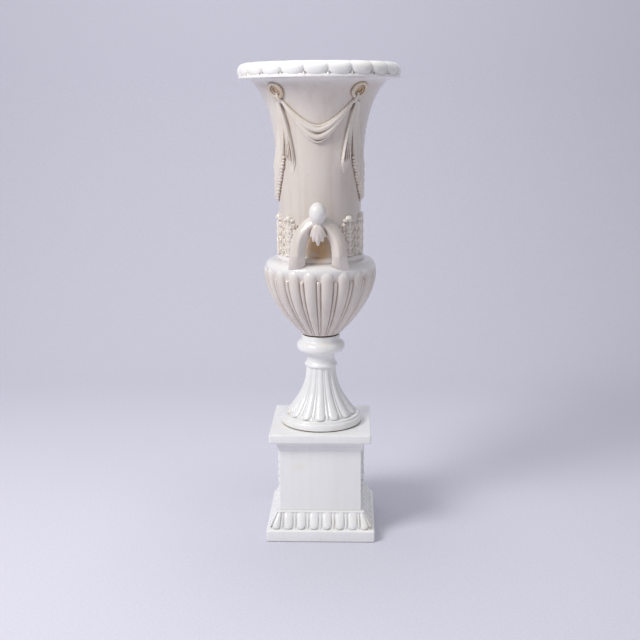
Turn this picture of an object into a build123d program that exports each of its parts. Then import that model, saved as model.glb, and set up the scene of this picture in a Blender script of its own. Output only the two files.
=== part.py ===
"""Two-handled pedestal vase: a glazed urn standing loose on a hollow square plinth.

Sizes are millimetres and heights run up from the floor.  The origin is the centre of the
plinth's underside, +Z is up, and the two handles are on the Y axis.  The urn is a body and a
foot casting clamped together by one bolt; its relief is moulded apart and luted on.
"""
import os
from math import acos, atan2, cos, degrees, pi, radians, sin, sqrt

from build123d import *

# Plinth: base plate, egg moulding, die, cornice and top slab
BASE_W = 197.0
BASE_H = 21.5
BASE_CORNER_R = 5.0
EGG_H = 30.5
EGG_LEDGE = 8.0
EGG_LIST = 2.5
EGG_COUNT = 6
EGG_CORNER_LEDGE = 5.0
EGG_R = 11.0
EGG_SINK = 6.0
DIE_W = 149.0
DIE_H = 117.0
CORNICE_H = 17.0
CORNICE_LIST_H = 2.5
CORNICE_LIST_OUT = 2.5
SLAB_W = 182.7
SLAB_H = 15.2
SLAB_CORNER_R = 2.0
SLAB_SOFFIT = 3.5
PLINTH_WALL = 8.0

# Laurel wreath on each side face of the die
WREATH_W = 84.0
WREATH_H = 88.0
WREATH_STEM_R = 2.5
WREATH_LEAVES = 24
WREATH_LEAF_L = 17.0
WREATH_LEAF_R = 4.2
WREATH_LEAF_TILT = 28.0

# How far up a leaf its widest point is
PETAL_WAIST = 0.4

# Felt ring under the foot
FELT_T = 1.5
FELT_INSET = 1.5
FELT_W = 14.0

# Foot casting: disc, step, fluted flare, bead, waist, torus and collar
FOOT_R = 74.5
FOOT_DISC_H = 12.0
FOOT_EDGE_R = 3.5
FOOT_STEP_R = 69.5
FOOT_STEP_H = 3.5
FLARE_R = 68.0
FLARE_H = 89.0
FLARE_TOP_R = 27.5
FLARE_CURVE = 2.1
BEAD_LIP = 1.0
BEAD_R = 29.8
BEAD_H = 7.0
WAIST_R = 25.6
WAIST_H = 21.5
TORUS_R = 44.4
TORUS_H = 20.0
COLLAR_R = 35.0
COLLAR_H = 11.5
FLUTE_COUNT = 14
FLUTE_PROUD_FOOT = 5.0
FLUTE_PROUD_TOP = 1.5
FLUTE_STATIONS = 8
WAIST_AT = 0.45
STEM_WALL = 7.0
STEM_TOP_T = 14.0
STEM_HOLLOW_AT = (0.12, 0.3, 0.5)

# Gasket in the joint between the foot and the body
GASKET_R = 33.5
GASKET_T = 2.5

# Body: godrooned bowl, shoulder, ring, neck and flared mouth
BOWL_FOOT_R = 36.0
BOWL_R = 101.5
BOWL_H = 116.0
BOWL_CURVE = 1.83
BOWL_STATIONS = 8
SHOULDER_H = 22.0
SHOULDER_AT = (0.45, 0.78, 0.95, 1.0)
SHOULDER_LEAST = 0.2
RING_R = 78.5
RING_H = 10.0
NECK_FOOT_R = 72.6
NECK_R = 78.0
NECK_PLAIN_H = 74.0
NECK_TAPER_H = 90.0
MOUTH_H = 140.0
MOUTH_OUT = 56.0
BODY_WALL = 7.5
FLOOR_T = 16.0
FLOOR_R = 28.0
BOWL_INSIDE_AT = (0.3, 0.55, 0.9)
GODROON_COUNT = 20
GODROON_PROUD = 6.0
DART_SHARE = 0.45
LOBE_SHARE = 0.9

# Rim: a rolled lip with pillow lobes
RIM_R = 141.8
RIM_FACE_H = 11.0
RIM_ROUND = 14.5
RIM_INNER_R = 111.0
RIM_LOBES = 22
RIM_LOBE_PROUD = 4.0
RIM_FOOT = 3.0
RIM_ROUND_AT = (0.35, 0.65, 0.88, 1.0)
RIM_LOBE_FADE = 0.8

# Bolt that clamps the foot to the body, with its seal, washers and nut
BOLT_R = 4.0
BOLT_HEAD_AF = 13.0
BOLT_HEAD_H = 5.3
BOLT_SPARE = 6.0
BOLT_CLEARANCE = 1.0
NUT_H = 6.8
SEAL_R = 16.0
SEAL_T = 2.0
WASHER_R = 14.0
WASHER_T = 1.6

# Handles
HANDLE_Y = 94.0
HANDLE_X = 36.0
HANDLE_W = 26.0
HANDLE_D = 24.0
HANDLE_KEEL_R = 2.5
HANDLE_RISE = 69.0
HANDLE_BEND_R = 24.0
TOE_W = 32.0
TOE_H = 26.0
TOE_TOP_W = 21.6
TOE_TOP_D = 16.0
KNOB_R = 15.6
KNOB_H = 41.0
KNOB_OUT = 10.0
TIE_R = 10.0
TUFT_L = 34.0
TUFT_R = 5.2
TUFT_FAN = (-52.0, -26.0, 0.0, 26.0, 52.0)
TUFT_SHORTEN = 120.0

# Acanthus band on the foot of the neck, a half on each side, open behind the handles
BAND_T = 1.6
BAND_H = 70.0
BAND_OPEN = 30.0
BAND_RING_H = 40.0
BAND_LEAVES = 4
LEAF_HALF_W = 10.0
LEAF_PROUD = 4.2
LEAF_LOBES = 3
LEAF_LOBE_FROM = 0.06
LEAF_LOBE_STEP = 0.24
LEAF_LOBE_REACH = 10.5
LEAF_LOBE_RISE = 19.0
LEAF_LOBE_HALF_W = 4.2
LEAF_LOBE_PROUD = 3.4
SPEAR_SHARE = 0.86
SPEAR_HALF_W = 3.6

# How far the flat back of a luted piece is modelled under the surface before it is cut off
RELIEF_SINK = 2.0

# Drapery: an eye at each spring, a swag over each handle, a tail and a cascade under each eye
EYE_AZIMUTH = 41.0
EYE_BELOW_RIM = 20.0
EYE_R = 11.5
EYE_WIRE_R = 3.4
SPRING_DROP = 16.5
SWAG_INSET = 4.6
SWAG_CURVE = 1.7
SWAG_DROP = 60.0
SWAG_HALF_W = 16.0
SWAG_END_HALF_W = 3.2
SWAG_FOLDS = 2
CREASE_SHARE = 0.45
CLOTH_END_HALF_W = 2.6
TAIL_L = 122.0
TAIL_HALF_W = 9.5
TAIL_DRIFT = 6.0
TAIL_SHOULDER = 0.86
TAIL_END = 1.05
CASCADE_L = 172.0
CASCADE_SWING = 34.0
CASCADE_CURVE = 2.4
CASCADE_HALF_W = 5.5
CASCADE_LENGTHS = (1.0, 0.86, 0.76)
CASCADE_STEP = 1.5
CASCADE_STAGGER = 0.8
DRAPE_PROUD = 4.5

# Heights, from the floor up
z_egg = BASE_H
z_die = z_egg + EGG_H
z_cornice = z_die + DIE_H
z_slab = z_cornice + CORNICE_H
z_plinth = z_slab + SLAB_H
z_foot = z_plinth + FELT_T
z_step = z_foot + FOOT_DISC_H
z_flare = z_step + FOOT_STEP_H
z_bead = z_flare + FLARE_H
z_waist = z_bead + BEAD_H
z_torus = z_waist + WAIST_H
z_collar = z_torus + TORUS_H
z_joint = z_collar + COLLAR_H
z_bowl = z_joint + GASKET_T
z_wide = z_bowl + BOWL_H
z_shoulder = z_wide + SHOULDER_H
z_neck = z_shoulder + RING_H
z_taper = z_neck + NECK_PLAIN_H
z_mouth = z_taper + NECK_TAPER_H
z_rim = z_mouth + MOUTH_H
z_crest = z_rim + RIM_FACE_H + RIM_ROUND
z_floor = z_bowl + FLOOR_T
z_eye = z_rim - EYE_BELOW_RIM
z_spring = z_eye - SPRING_DROP


def at(radius, height):
    """A point of an outline in the XZ plane."""
    return (radius, 0, height)


def turned(*outline):
    """The solid turned about the vertical axis from a closed outline."""
    return revolve(make_face(list(outline)), Axis.Z)


def quarter(centre_r, centre_z, reach_r, reach_z, start):
    """A quarter of an ellipse in the XZ plane, from a start angle towards the next one up."""
    return Plane.XZ * EllipticalCenterArc((centre_r, centre_z), reach_r, reach_z, start, arc_size=90)


def bead(inner_r, outer_r, bottom, top):
    """The two edges of a half-round moulding that stands out from inner_r to outer_r."""
    middle = (bottom + top) / 2
    reach = outer_r - inner_r
    rise = (top - bottom) / 2
    return quarter(inner_r, middle, reach, rise, 270), quarter(inner_r, middle, reach, rise, 0)


def largest(shape):
    """The one real piece of a cut shape, without the slivers of no thickness beside it."""
    return max(shape.solids(), key=lambda solid: solid.volume)


def mitred(face):
    """A square moulding with mitred corners, from one symmetrical outline in the XZ plane."""
    run = extrude(face, amount=BASE_W, both=True)
    return run & run.rotate(Axis.Z, 90)


def disc(radius, bottom, height, hole=0.0):
    """A flat round plate with an optional hole, standing on a given height."""
    plate = Pos(0, 0, bottom) * extrude(Circle(radius), height)
    if hole:
        plate -= Pos(0, 0, bottom) * extrude(Circle(hole), height)
    return plate


def scallop(radius, height, proud, count, phase, dart=0.0, points=8):
    """A level outline with rounded lobes; each valley may hold a narrow dart."""
    outline = []
    for i in range(count * points):
        across = 2 * (i % points) / points - 1
        lobe = sqrt(max(0.0, 1 - (across / LOBE_SHARE) ** 2))
        if i % points == 0:
            lobe = dart
        turn = radians(phase + 360 * i / (count * points))
        reach = radius - proud * (1 - lobe)
        outline.append((reach * cos(turn), reach * sin(turn), height))
    return make_face([Spline(*outline, periodic=True)])


def lobed(stations, count, phase, dart=0.0):
    """A solid skinned over scalloped outlines given as (radius, height, proud)."""
    return loft([scallop(*station, count, phase, dart) for station in stations])


def petal(length, radius):
    """A leaf-shaped drop from the origin up the Z axis, widest below its middle."""
    edge = Spline((0, 0, 0), (radius, 0, length * PETAL_WAIST), (0, 0, length))
    return revolve(make_face([edge, Line((0, 0, length), (0, 0, 0))]), Axis.Z)


def egg(length, radius):
    """A round-topped drop from the origin up the Z axis, widest below its middle."""
    waist = (radius, 0, length * PETAL_WAIST)
    edge = Spline((0, 0, 0), waist, (0, 0, length), tangents=[(1, 0, 0.6), (-1, 0, 0)])
    return revolve(make_face([edge, Line((0, 0, length), (0, 0, 0))]), Axis.Z)


def fold(points, widths, proud, lobes=1):
    """Rounded folds side by side along points on the neck, their flat back sunk under it."""
    sections = []
    last = len(points) - 1
    for i, (point, width) in enumerate(zip(points, widths)):
        along = points[min(i + 1, last)] - points[max(i - 1, 0)]
        outward = Vector(point.X, point.Y, 0)
        crest = proud * min(1.0, width / proud)
        valleys = [(width - 2 * width * k / lobes, crest * CREASE_SHARE) for k in range(lobes + 1)]
        valleys[0] = (width, -RELIEF_SINK)
        valleys[-1] = (-width, -RELIEF_SINK)
        outline = [Line(valleys[-1], valleys[0])]
        for right, left in zip(valleys, valleys[1:]):
            outline.append(ThreePointArc(right, ((right[0] + left[0]) / 2, crest), left))
        plane = Plane(origin=point, x_dir=outward.cross(along), z_dir=along)
        sections.append(plane * make_face(outline))
    return loft(sections)


def bowl_radius(share):
    """The bowl's radius over the lobes at a share of its height."""
    return BOWL_FOOT_R + (BOWL_R - BOWL_FOOT_R) * (1 - (1 - share) ** BOWL_CURVE)


def flare_radius(share):
    """The foot's radius over the flutes at a share of the flare's height."""
    return FLARE_TOP_R + (FLARE_R - FLARE_TOP_R) * (1 - share) ** FLARE_CURVE


def neck_radius(height):
    """The neck's outer radius at a height between the shoulder ring and the rim."""
    if height <= z_taper:
        return NECK_FOOT_R
    if height <= z_mouth:
        return NECK_FOOT_R + (NECK_R - NECK_FOOT_R) * (height - z_taper) / NECK_TAPER_H
    rise = (height - z_mouth) / MOUTH_H
    return NECK_R + MOUTH_OUT * (1 - sqrt(1 - rise ** 2))


def on_neck(azimuth, height, lift=0.0):
    """A point on the neck; azimuth 0 is over the front handle, counted to the right."""
    reach = neck_radius(height) + lift
    return Vector(reach * sin(radians(azimuth)), -reach * cos(radians(azimuth)), height)


def neck_slope(height):
    """How far the neck's outer face leans out from upright at a height, in degrees."""
    step = 0.5
    lean = Vector(neck_radius(height + step) - neck_radius(height - step), 2 * step, 0)
    return degrees(acos(lean.normalized().Y))


def make_plinth():
    """The hollow plinth: mitred mouldings outside, egg lobes round the base, open below."""
    base, die, slab = BASE_W / 2, DIE_W / 2, SLAB_W / 2
    ledge = base - EGG_LEDGE
    egg_top = die + EGG_LIST
    list_x = die + CORNICE_LIST_OUT
    list_z = z_cornice + CORNICE_LIST_H
    soffit = slab - SLAB_SOFFIT
    half = make_face([
        Line(at(0, 0), at(base, 0)),
        Line(at(base, 0), at(base, z_egg)),
        Line(at(base, z_egg), at(ledge, z_egg)),
        Line(at(ledge, z_egg), at(egg_top, z_die)),
        Line(at(egg_top, z_die), at(die, z_die)),
        Line(at(die, z_die), at(die, z_cornice)),
        Line(at(die, z_cornice), at(list_x, z_cornice)),
        Line(at(list_x, z_cornice), at(list_x, list_z)),
        quarter(soffit, list_z, soffit - list_x, z_slab - list_z, 90),
        Line(at(soffit, z_slab), at(slab, z_slab)),
        Line(at(slab, z_slab), at(slab, z_plinth)),
        Line(at(slab, z_plinth), at(0, z_plinth)),
        Line(at(0, z_plinth), at(0, 0)),
    ])
    outside = mitred(half + mirror(half, Plane.YZ))
    for half_w, radius in ((base, BASE_CORNER_R), (slab, SLAB_CORNER_R)):
        upright = outside.edges().filter_by(Axis.Z)
        corners = upright.filter_by(lambda edge: abs(abs(edge.center().X) - half_w) < 0.1)
        outside = fillet(corners, radius)
    die_in = DIE_W - 2 * PLINTH_WALL
    base_in = BASE_W - 2 * (PLINTH_WALL + EGG_LEDGE)
    inside = loft([Rectangle(base_in, base_in), Pos(0, 0, z_die) * Rectangle(die_in, die_in)])
    inside += Pos(0, 0, z_die) * extrude(Rectangle(die_in, die_in), z_plinth - PLINTH_WALL - z_die)
    return outside.fuse(*make_eggs(ledge, ledge - egg_top)) - inside


def leaning_lobe(foot, reach):
    """A round-ended lobe that leans in by reach from a foot on the -Y side, its axis sunk."""
    length = EGG_R + sqrt(reach ** 2 + EGG_H ** 2)
    bar = turned(
        quarter(0, EGG_R, EGG_R, EGG_R, 270),
        Line(at(EGG_R, EGG_R), at(EGG_R, length)),
        Line(at(EGG_R, length), at(0, length)),
        Line(at(0, length), at(0, 0)),
    )
    lean = degrees(atan2(reach, EGG_H))
    return Pos(0, -foot, z_egg) * Rot(-lean, 0, 0) * Pos(0, EGG_SINK, 0) * bar


def make_eggs(ledge, reach):
    """The lobes of the egg moulding: a row on each face, and one up each corner."""
    below = Pos(0, 0, z_egg - EGG_R) * extrude(Rectangle(2 * BASE_W, 2 * BASE_W), EGG_R + EGG_H)
    lobe = leaning_lobe(ledge, reach) & below
    corner = leaning_lobe(ledge * sqrt(2), reach * sqrt(2)) & below
    pitch = 2 * (BASE_W / 2 - EGG_CORNER_LEDGE) / (EGG_COUNT + 2)
    row = [Pos((i - (EGG_COUNT - 1) / 2) * pitch, 0, 0) * lobe for i in range(EGG_COUNT)]
    row.append(corner.rotate(Axis.Z, 45))
    return [piece.rotate(Axis.Z, 90 * side) for side in range(4) for piece in row]


def make_wreath():
    """The oval laurel wreath on the right face of the die, cut flat where it is luted on."""
    face = Plane(origin=(DIE_W / 2, 0, (z_die + z_cornice) / 2), x_dir=(0, 1, 0), z_dir=(1, 0, 0))
    stem = extrude(Ellipse(WREATH_W / 2, WREATH_H / 2), WREATH_STEM_R)
    stem -= extrude(Ellipse(WREATH_W / 2 - 2 * WREATH_STEM_R, WREATH_H / 2 - 2 * WREATH_STEM_R),
                    WREATH_STEM_R)
    leaves = []
    for i in range(WREATH_LEAVES):
        turn = 360 * (i + 0.5) / WREATH_LEAVES
        x = (WREATH_W / 2 - WREATH_STEM_R) * cos(radians(turn))
        y = (WREATH_H / 2 - WREATH_STEM_R) * sin(radians(turn))
        tilt = WREATH_LEAF_TILT if i % 2 else -WREATH_LEAF_TILT
        heading = turn + tilt + (0 if x > 0 else 180)
        leaf = Pos(x, y, 0) * Rot(0, 0, heading) * Rot(-90, 0, 0) * petal(WREATH_LEAF_L, WREATH_LEAF_R)
        leaves.append(leaf)
    wreath = stem.fuse(*leaves)
    front = extrude(Rectangle(DIE_W, DIE_W), WREATH_LEAF_R + WREATH_STEM_R)
    return face * (wreath & front)


def make_felt_ring():
    """The felt ring that the foot stands on."""
    outer = FOOT_R - FELT_INSET
    return disc(outer, z_plinth, FELT_T, outer - FELT_W)


def make_stem_foot():
    """The hollow foot casting, open below, with a bored plate at its top for the bolt."""
    disc_edge = z_step - FOOT_EDGE_R
    base = turned(
        Line(at(0, z_foot), at(FOOT_R, z_foot)),
        Line(at(FOOT_R, z_foot), at(FOOT_R, disc_edge)),
        quarter(FOOT_R - FOOT_EDGE_R, disc_edge, FOOT_EDGE_R, FOOT_EDGE_R, 0),
        Line(at(FOOT_R - FOOT_EDGE_R, z_step), at(FOOT_STEP_R, z_step)),
        Line(at(FOOT_STEP_R, z_step), at(FOOT_STEP_R, z_flare)),
        Line(at(FOOT_STEP_R, z_flare), at(0, z_flare)),
        Line(at(0, z_flare), at(0, z_foot)),
    )
    stations = []
    for i in range(FLUTE_STATIONS + 1):
        share = i / FLUTE_STATIONS
        proud = FLUTE_PROUD_FOOT + (FLUTE_PROUD_TOP - FLUTE_PROUD_FOOT) * share
        stations.append((flare_radius(share), z_flare + FLARE_H * share, proud))
    flare = lobed(stations, FLUTE_COUNT, -90 + 180 / FLUTE_COUNT)
    bead_foot_r = FLARE_TOP_R + BEAD_LIP
    upper = turned(
        Line(at(0, z_bead), at(bead_foot_r, z_bead)),
        *bead(bead_foot_r, BEAD_R, z_bead, z_waist),
        Spline(at(bead_foot_r, z_waist), at(WAIST_R, z_waist + WAIST_H * WAIST_AT), at(COLLAR_R, z_torus)),
        *bead(COLLAR_R, TORUS_R, z_torus, z_collar),
        Line(at(COLLAR_R, z_collar), at(COLLAR_R, z_joint)),
        Line(at(COLLAR_R, z_joint), at(0, z_joint)),
        Line(at(0, z_joint), at(0, z_bead)),
    )
    narrow = FLARE_TOP_R - STEM_WALL - FLUTE_PROUD_TOP
    hollow = [at(flare_radius(s) - STEM_WALL - FLUTE_PROUD_FOOT, z_flare + FLARE_H * s - STEM_WALL)
              for s in STEM_HOLLOW_AT]
    mouth = FOOT_STEP_R - STEM_WALL
    inside = turned(
        Line(at(0, z_foot), at(mouth, z_foot)),
        Spline(at(mouth, z_foot), *hollow, at(narrow, z_bead), tangents=[(0, 0, 1), (0, 0, 1)]),
        Line(at(narrow, z_bead), at(narrow, z_joint - STEM_TOP_T)),
        Line(at(narrow, z_joint - STEM_TOP_T), at(0, z_joint - STEM_TOP_T)),
        Line(at(0, z_joint - STEM_TOP_T), at(0, z_foot)),
    )
    bore = disc(BOLT_R + BOLT_CLEARANCE, z_joint - STEM_TOP_T, STEM_TOP_T)
    return base + flare + upper - inside - bore


def make_body_outside():
    """The body's outside, filled: godrooned bowl, ring, neck, flared mouth and lobed rim."""
    stations = []
    for i in range(BOWL_STATIONS + 1):
        share = i / BOWL_STATIONS
        proud = GODROON_PROUD * bowl_radius(share) / BOWL_R
        stations.append((bowl_radius(share), z_bowl + BOWL_H * share, proud))
    for share in SHOULDER_AT:
        round_off = (1 - share ** 3) ** (1 / 3)
        radius = RING_R + (BOWL_R - RING_R) * max(round_off, SHOULDER_LEAST)
        stations.append((radius, z_wide + SHOULDER_H * share, GODROON_PROUD * round_off))
    bowl = lobed(stations, GODROON_COUNT, -90, DART_SHARE)
    neck = turned(
        Line(at(0, z_shoulder), at(NECK_FOOT_R, z_shoulder)),
        *bead(NECK_FOOT_R, RING_R, z_shoulder, z_neck),
        Line(at(NECK_FOOT_R, z_neck), at(NECK_FOOT_R, z_taper)),
        Line(at(NECK_FOOT_R, z_taper), at(NECK_R, z_mouth)),
        quarter(NECK_R + MOUTH_OUT, z_mouth, MOUTH_OUT, MOUTH_H, 90),
        Line(at(NECK_R + MOUTH_OUT, z_rim), at(0, z_rim)),
        Line(at(0, z_rim), at(0, z_shoulder)),
    )
    return bowl + neck + make_rim()


def make_rim():
    """The rolled lip, filled: an upright lobed face that rounds over to the crest."""
    face_top = z_rim + RIM_FACE_H
    stations = [(RIM_R - RIM_FOOT, z_rim, RIM_LOBE_PROUD), (RIM_R, z_rim + RIM_FOOT, RIM_LOBE_PROUD),
                (RIM_R, face_top, RIM_LOBE_PROUD)]
    for lift in RIM_ROUND_AT:
        inset = RIM_ROUND * (1 - sqrt(1 - lift ** 2))
        proud = RIM_LOBE_PROUD * (1 - RIM_LOBE_FADE * lift)
        stations.append((RIM_R - inset, face_top + RIM_ROUND * lift, proud))
    return lobed(stations, RIM_LOBES, -90 + 180 / RIM_LOBES)


def make_body_inside():
    """The space inside the body, from the bolt floor to the mouth."""
    bowl = [at(bowl_radius(s) - GODROON_PROUD - BODY_WALL, z_bowl + BOWL_H * s + BODY_WALL / 2)
            for s in BOWL_INSIDE_AT]
    neck_in = NECK_FOOT_R - BODY_WALL
    mouth_in = NECK_R - BODY_WALL
    flare_r = MOUTH_OUT + BODY_WALL
    flare_z = MOUTH_H + BODY_WALL
    centre = NECK_R + MOUTH_OUT
    throat = z_mouth + flare_z * sqrt(1 - ((centre - RIM_INNER_R) / flare_r) ** 2)
    return turned(
        Line(at(0, z_floor), at(FLOOR_R, z_floor)),
        Spline(at(FLOOR_R, z_floor), *bowl, at(neck_in, z_shoulder)),
        Line(at(neck_in, z_shoulder), at(neck_in, z_taper)),
        Line(at(neck_in, z_taper), at(mouth_in, z_mouth)),
        Plane.XZ * EllipticalCenterArc((centre, z_mouth), flare_r, flare_z, 180, arc_size=-degrees(
            acos((centre - RIM_INNER_R) / flare_r))),
        Line(at(RIM_INNER_R, throat), at(RIM_INNER_R, z_crest)),
        Line(at(RIM_INNER_R, z_crest), at(0, z_crest)),
        Line(at(0, z_crest), at(0, z_floor)),
    )


def make_body(outside):
    """The slip-cast body: its outside less the space inside and the bolt's hole."""
    bore = disc(BOLT_R + BOLT_CLEARANCE, z_bowl, FLOOR_T)
    return outside - make_body_inside() - bore


def make_gasket():
    """The cork ring in the joint."""
    return disc(GASKET_R, z_joint, GASKET_T, BOLT_R + BOLT_CLEARANCE)


def hexagon(across_flats, height):
    """A six-sided head or nut standing on the XY plane."""
    return extrude(RegularPolygon(across_flats / 2, 6, major_radius=False), height)


def make_fasteners():
    """The clamp: bolt, seal and washer on the body's floor, washer and nut under the foot's plate."""
    seat = z_floor + SEAL_T + WASHER_T
    plate = z_joint - STEM_TOP_T
    nut_bottom = plate - WASHER_T - NUT_H
    shank = nut_bottom - BOLT_SPARE
    bolt = disc(BOLT_R, shank, seat - shank) + Pos(0, 0, seat) * hexagon(BOLT_HEAD_AF, BOLT_HEAD_H)
    return {
        "clamp_bolt": bolt,
        "bolt_seal": disc(SEAL_R, z_floor, SEAL_T, BOLT_R),
        "bolt_washer": disc(WASHER_R, z_floor + SEAL_T, WASHER_T, BOLT_R),
        "nut_washer": disc(WASHER_R, plate - WASHER_T, WASHER_T, BOLT_R),
        "clamp_nut": Pos(0, 0, nut_bottom) * hexagon(BOLT_HEAD_AF, NUT_H) - disc(BOLT_R, nut_bottom, NUT_H),
    }


def make_handle(outside):
    """The front handle: a keeled arch on the shoulder, tied to the neck, with knob and leaf tuft."""
    foot_z = z_shoulder - TOE_H / 2
    crown_z = z_shoulder + HANDLE_RISE
    path = FilletPolyline((-HANDLE_X, -HANDLE_Y, foot_z), (-HANDLE_X, -HANDLE_Y, crown_z),
                          (HANDLE_X, -HANDLE_Y, crown_z), (HANDLE_X, -HANDLE_Y, foot_z),
                          radius=HANDLE_BEND_R)
    keel = Polygon((-HANDLE_W / 2, 0), (0, -HANDLE_D / 2), (HANDLE_W / 2, 0), (0, HANDLE_D / 2),
                   align=None)
    keel = fillet(keel.vertices(), HANDLE_KEEL_R)
    arch = sweep(Plane(origin=path @ 0, x_dir=(1, 0, 0), z_dir=path % 0) * keel, path)
    toes = []
    for side in (-1, 1):
        toe = loft([
            Pos(side * HANDLE_X, -HANDLE_Y, foot_z) * Ellipse(TOE_W / 2, HANDLE_D / 2),
            Pos(side * HANDLE_X, -HANDLE_Y, foot_z + TOE_H) * Ellipse(TOE_TOP_W / 2, TOE_TOP_D / 2),
        ])
        toes.append(toe)
    knob_y = -(HANDLE_Y + KNOB_OUT)
    knob = Pos(0, knob_y, crown_z) * egg(KNOB_H, KNOB_R)
    tie_l = HANDLE_Y - NECK_FOOT_R + TIE_R
    tie = Pos(0, -HANDLE_Y, crown_z) * Rot(-90, 0, 0) * extrude(Circle(TIE_R), tie_l)
    tuft = [Pos(0, knob_y - TUFT_R, crown_z + TUFT_R) * Rot(0, 180 + fan, 0)
            * petal(TUFT_L * (1 - abs(fan) / TUFT_SHORTEN), TUFT_R) for fan in TUFT_FAN]
    return arch.fuse(*toes, knob, tie, *tuft) - outside


def hang(azimuth_of, height_of, width_of, proud, steps=10, lobes=1):
    """Folds whose azimuth, height and half width are functions of their share from 0 to 1."""
    shares = [i / steps for i in range(steps + 1)]
    points = [on_neck(azimuth_of(s), height_of(s)) for s in shares]
    return fold(points, [width_of(s) for s in shares], proud, lobes)


def round_ends(share, low, high):
    """Share of the full width along a leaf whose ends round off below low and above high."""
    if share < low:
        return max(0.3, sqrt(1 - ((low - share) / low) ** 2))
    if share > high:
        return max(0.3, sqrt(1 - ((share - high) / (1 - high)) ** 2))
    return 1.0


def make_neck_solid():
    """The plain neck and mouth, filled, that relief is cut against."""
    return turned(
        Line(at(0, z_neck), at(NECK_FOOT_R, z_neck)),
        Line(at(NECK_FOOT_R, z_neck), at(NECK_FOOT_R, z_taper)),
        Line(at(NECK_FOOT_R, z_taper), at(NECK_R, z_mouth)),
        quarter(NECK_R + MOUTH_OUT, z_mouth, MOUTH_OUT, MOUTH_H, 90),
        Line(at(NECK_R + MOUTH_OUT, z_rim), at(0, z_rim)),
        Line(at(0, z_rim), at(0, z_neck)),
    )


def make_leaf():
    """One acanthus leaf over azimuth 0: a spine with pairs of side lobes that lean out from it."""
    def spine_width(s):
        return LEAF_HALF_W * round_ends(s, 0.45, 0.6)

    parts = [hang(lambda s: 0, lambda s: z_neck + BAND_H * s, spine_width, LEAF_PROUD, 8)]
    for i in range(LEAF_LOBES):
        height = z_neck + BAND_H * (LEAF_LOBE_FROM + LEAF_LOBE_STEP * i)
        for side in (-1, 1):
            parts.append(hang(
                lambda s: side * LEAF_LOBE_REACH * s,
                lambda s: height + LEAF_LOBE_RISE * s,
                lambda s: LEAF_LOBE_HALF_W * round_ends(s, 0.2, 0.6), LEAF_LOBE_PROUD, 5))
    return parts


def make_spear():
    """The pointed tip that shows between two leaves, over azimuth 0."""
    return hang(lambda s: 0, lambda s: z_neck + BAND_H * (1 - s) * SPEAR_SHARE + 1,
                lambda s: SPEAR_HALF_W * round_ends(s, 0.5, 0.9), LEAF_LOBE_PROUD, 6)


def make_acanthus(neck):
    """The right half of the leaf band: a thin ring, its leaves and the spears between them."""
    reach = 2 * RING_R
    edge_x = reach * sin(radians(BAND_OPEN))
    edge_y = reach * cos(radians(BAND_OPEN))
    outline = Polyline((0, 0), (edge_x, -edge_y), (reach, -edge_y), (reach, edge_y), (edge_x, edge_y), (0, 0))
    ring = disc(NECK_FOOT_R + BAND_T, z_neck, BAND_RING_H, NECK_FOOT_R - RELIEF_SINK)
    ring &= extrude(make_face([outline]), z_rim)
    step = (180 - 2 * BAND_OPEN) / BAND_LEAVES
    leaf = make_leaf()
    spear = make_spear()
    pieces = [part.rotate(Axis.Z, BAND_OPEN + step * (i + 0.5)) for i in range(BAND_LEAVES) for part in leaf]
    pieces += [spear.rotate(Axis.Z, BAND_OPEN + step * i) for i in range(1, BAND_LEAVES)]
    return ring.fuse(*pieces) - neck


def make_swag(neck):
    """The front swag: an upper and a lower fold that hang together between the two front eyes."""
    cloth = hang(
        lambda s: (EYE_AZIMUTH - SWAG_INSET) * (2 * s - 1),
        lambda s: z_spring - SWAG_DROP * (1 - abs(2 * s - 1) ** SWAG_CURVE),
        lambda s: SWAG_END_HALF_W + (SWAG_HALF_W - SWAG_END_HALF_W) * sin(pi * s),
        DRAPE_PROUD, 14, SWAG_FOLDS)
    return cloth - neck


def make_drape(neck):
    """The cloth under the front right eye: a pointed tail and a cascade of three folds."""
    def tail_width(s):
        if s < TAIL_SHOULDER:
            return CLOTH_END_HALF_W + (TAIL_HALF_W - CLOTH_END_HALF_W) * s / TAIL_SHOULDER
        return TAIL_HALF_W * (TAIL_END - s) / (TAIL_END - TAIL_SHOULDER)

    def cascade_width(s):
        return CLOTH_END_HALF_W + (CASCADE_HALF_W - CLOTH_END_HALF_W) * s

    def cascade_azimuth(s, order):
        swing = CASCADE_SWING * s ** CASCADE_CURVE
        aside = CASCADE_STEP * (order + 1) * cascade_width(s) / neck_radius(z_spring - CASCADE_L * s)
        return EYE_AZIMUTH + swing + degrees(aside)

    folds = [hang(lambda s: EYE_AZIMUTH - TAIL_DRIFT * s, lambda s: z_spring - TAIL_L * s,
                  tail_width, DRAPE_PROUD)]
    for order, length in enumerate(CASCADE_LENGTHS):
        start = z_spring - CASCADE_STAGGER * (order + 1)
        folds.append(hang(
            lambda s: cascade_azimuth(s * length, order),
            lambda s: start - CASCADE_L * length * s,
            lambda s: cascade_width(s * length), DRAPE_PROUD))
    return folds[0].fuse(*folds[1:]) - neck


def make_eye(neck):
    """The ring at the front right spring, lying against the leaning neck."""
    lean = neck_slope(z_eye)
    centre = on_neck(0, z_eye, EYE_WIRE_R / 2)
    ring = Torus(EYE_R, EYE_WIRE_R)
    placed = Pos(*centre) * Rot(90 + lean, 0, 0) * ring
    return placed.rotate(Axis.Z, EYE_AZIMUTH) - neck


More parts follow.
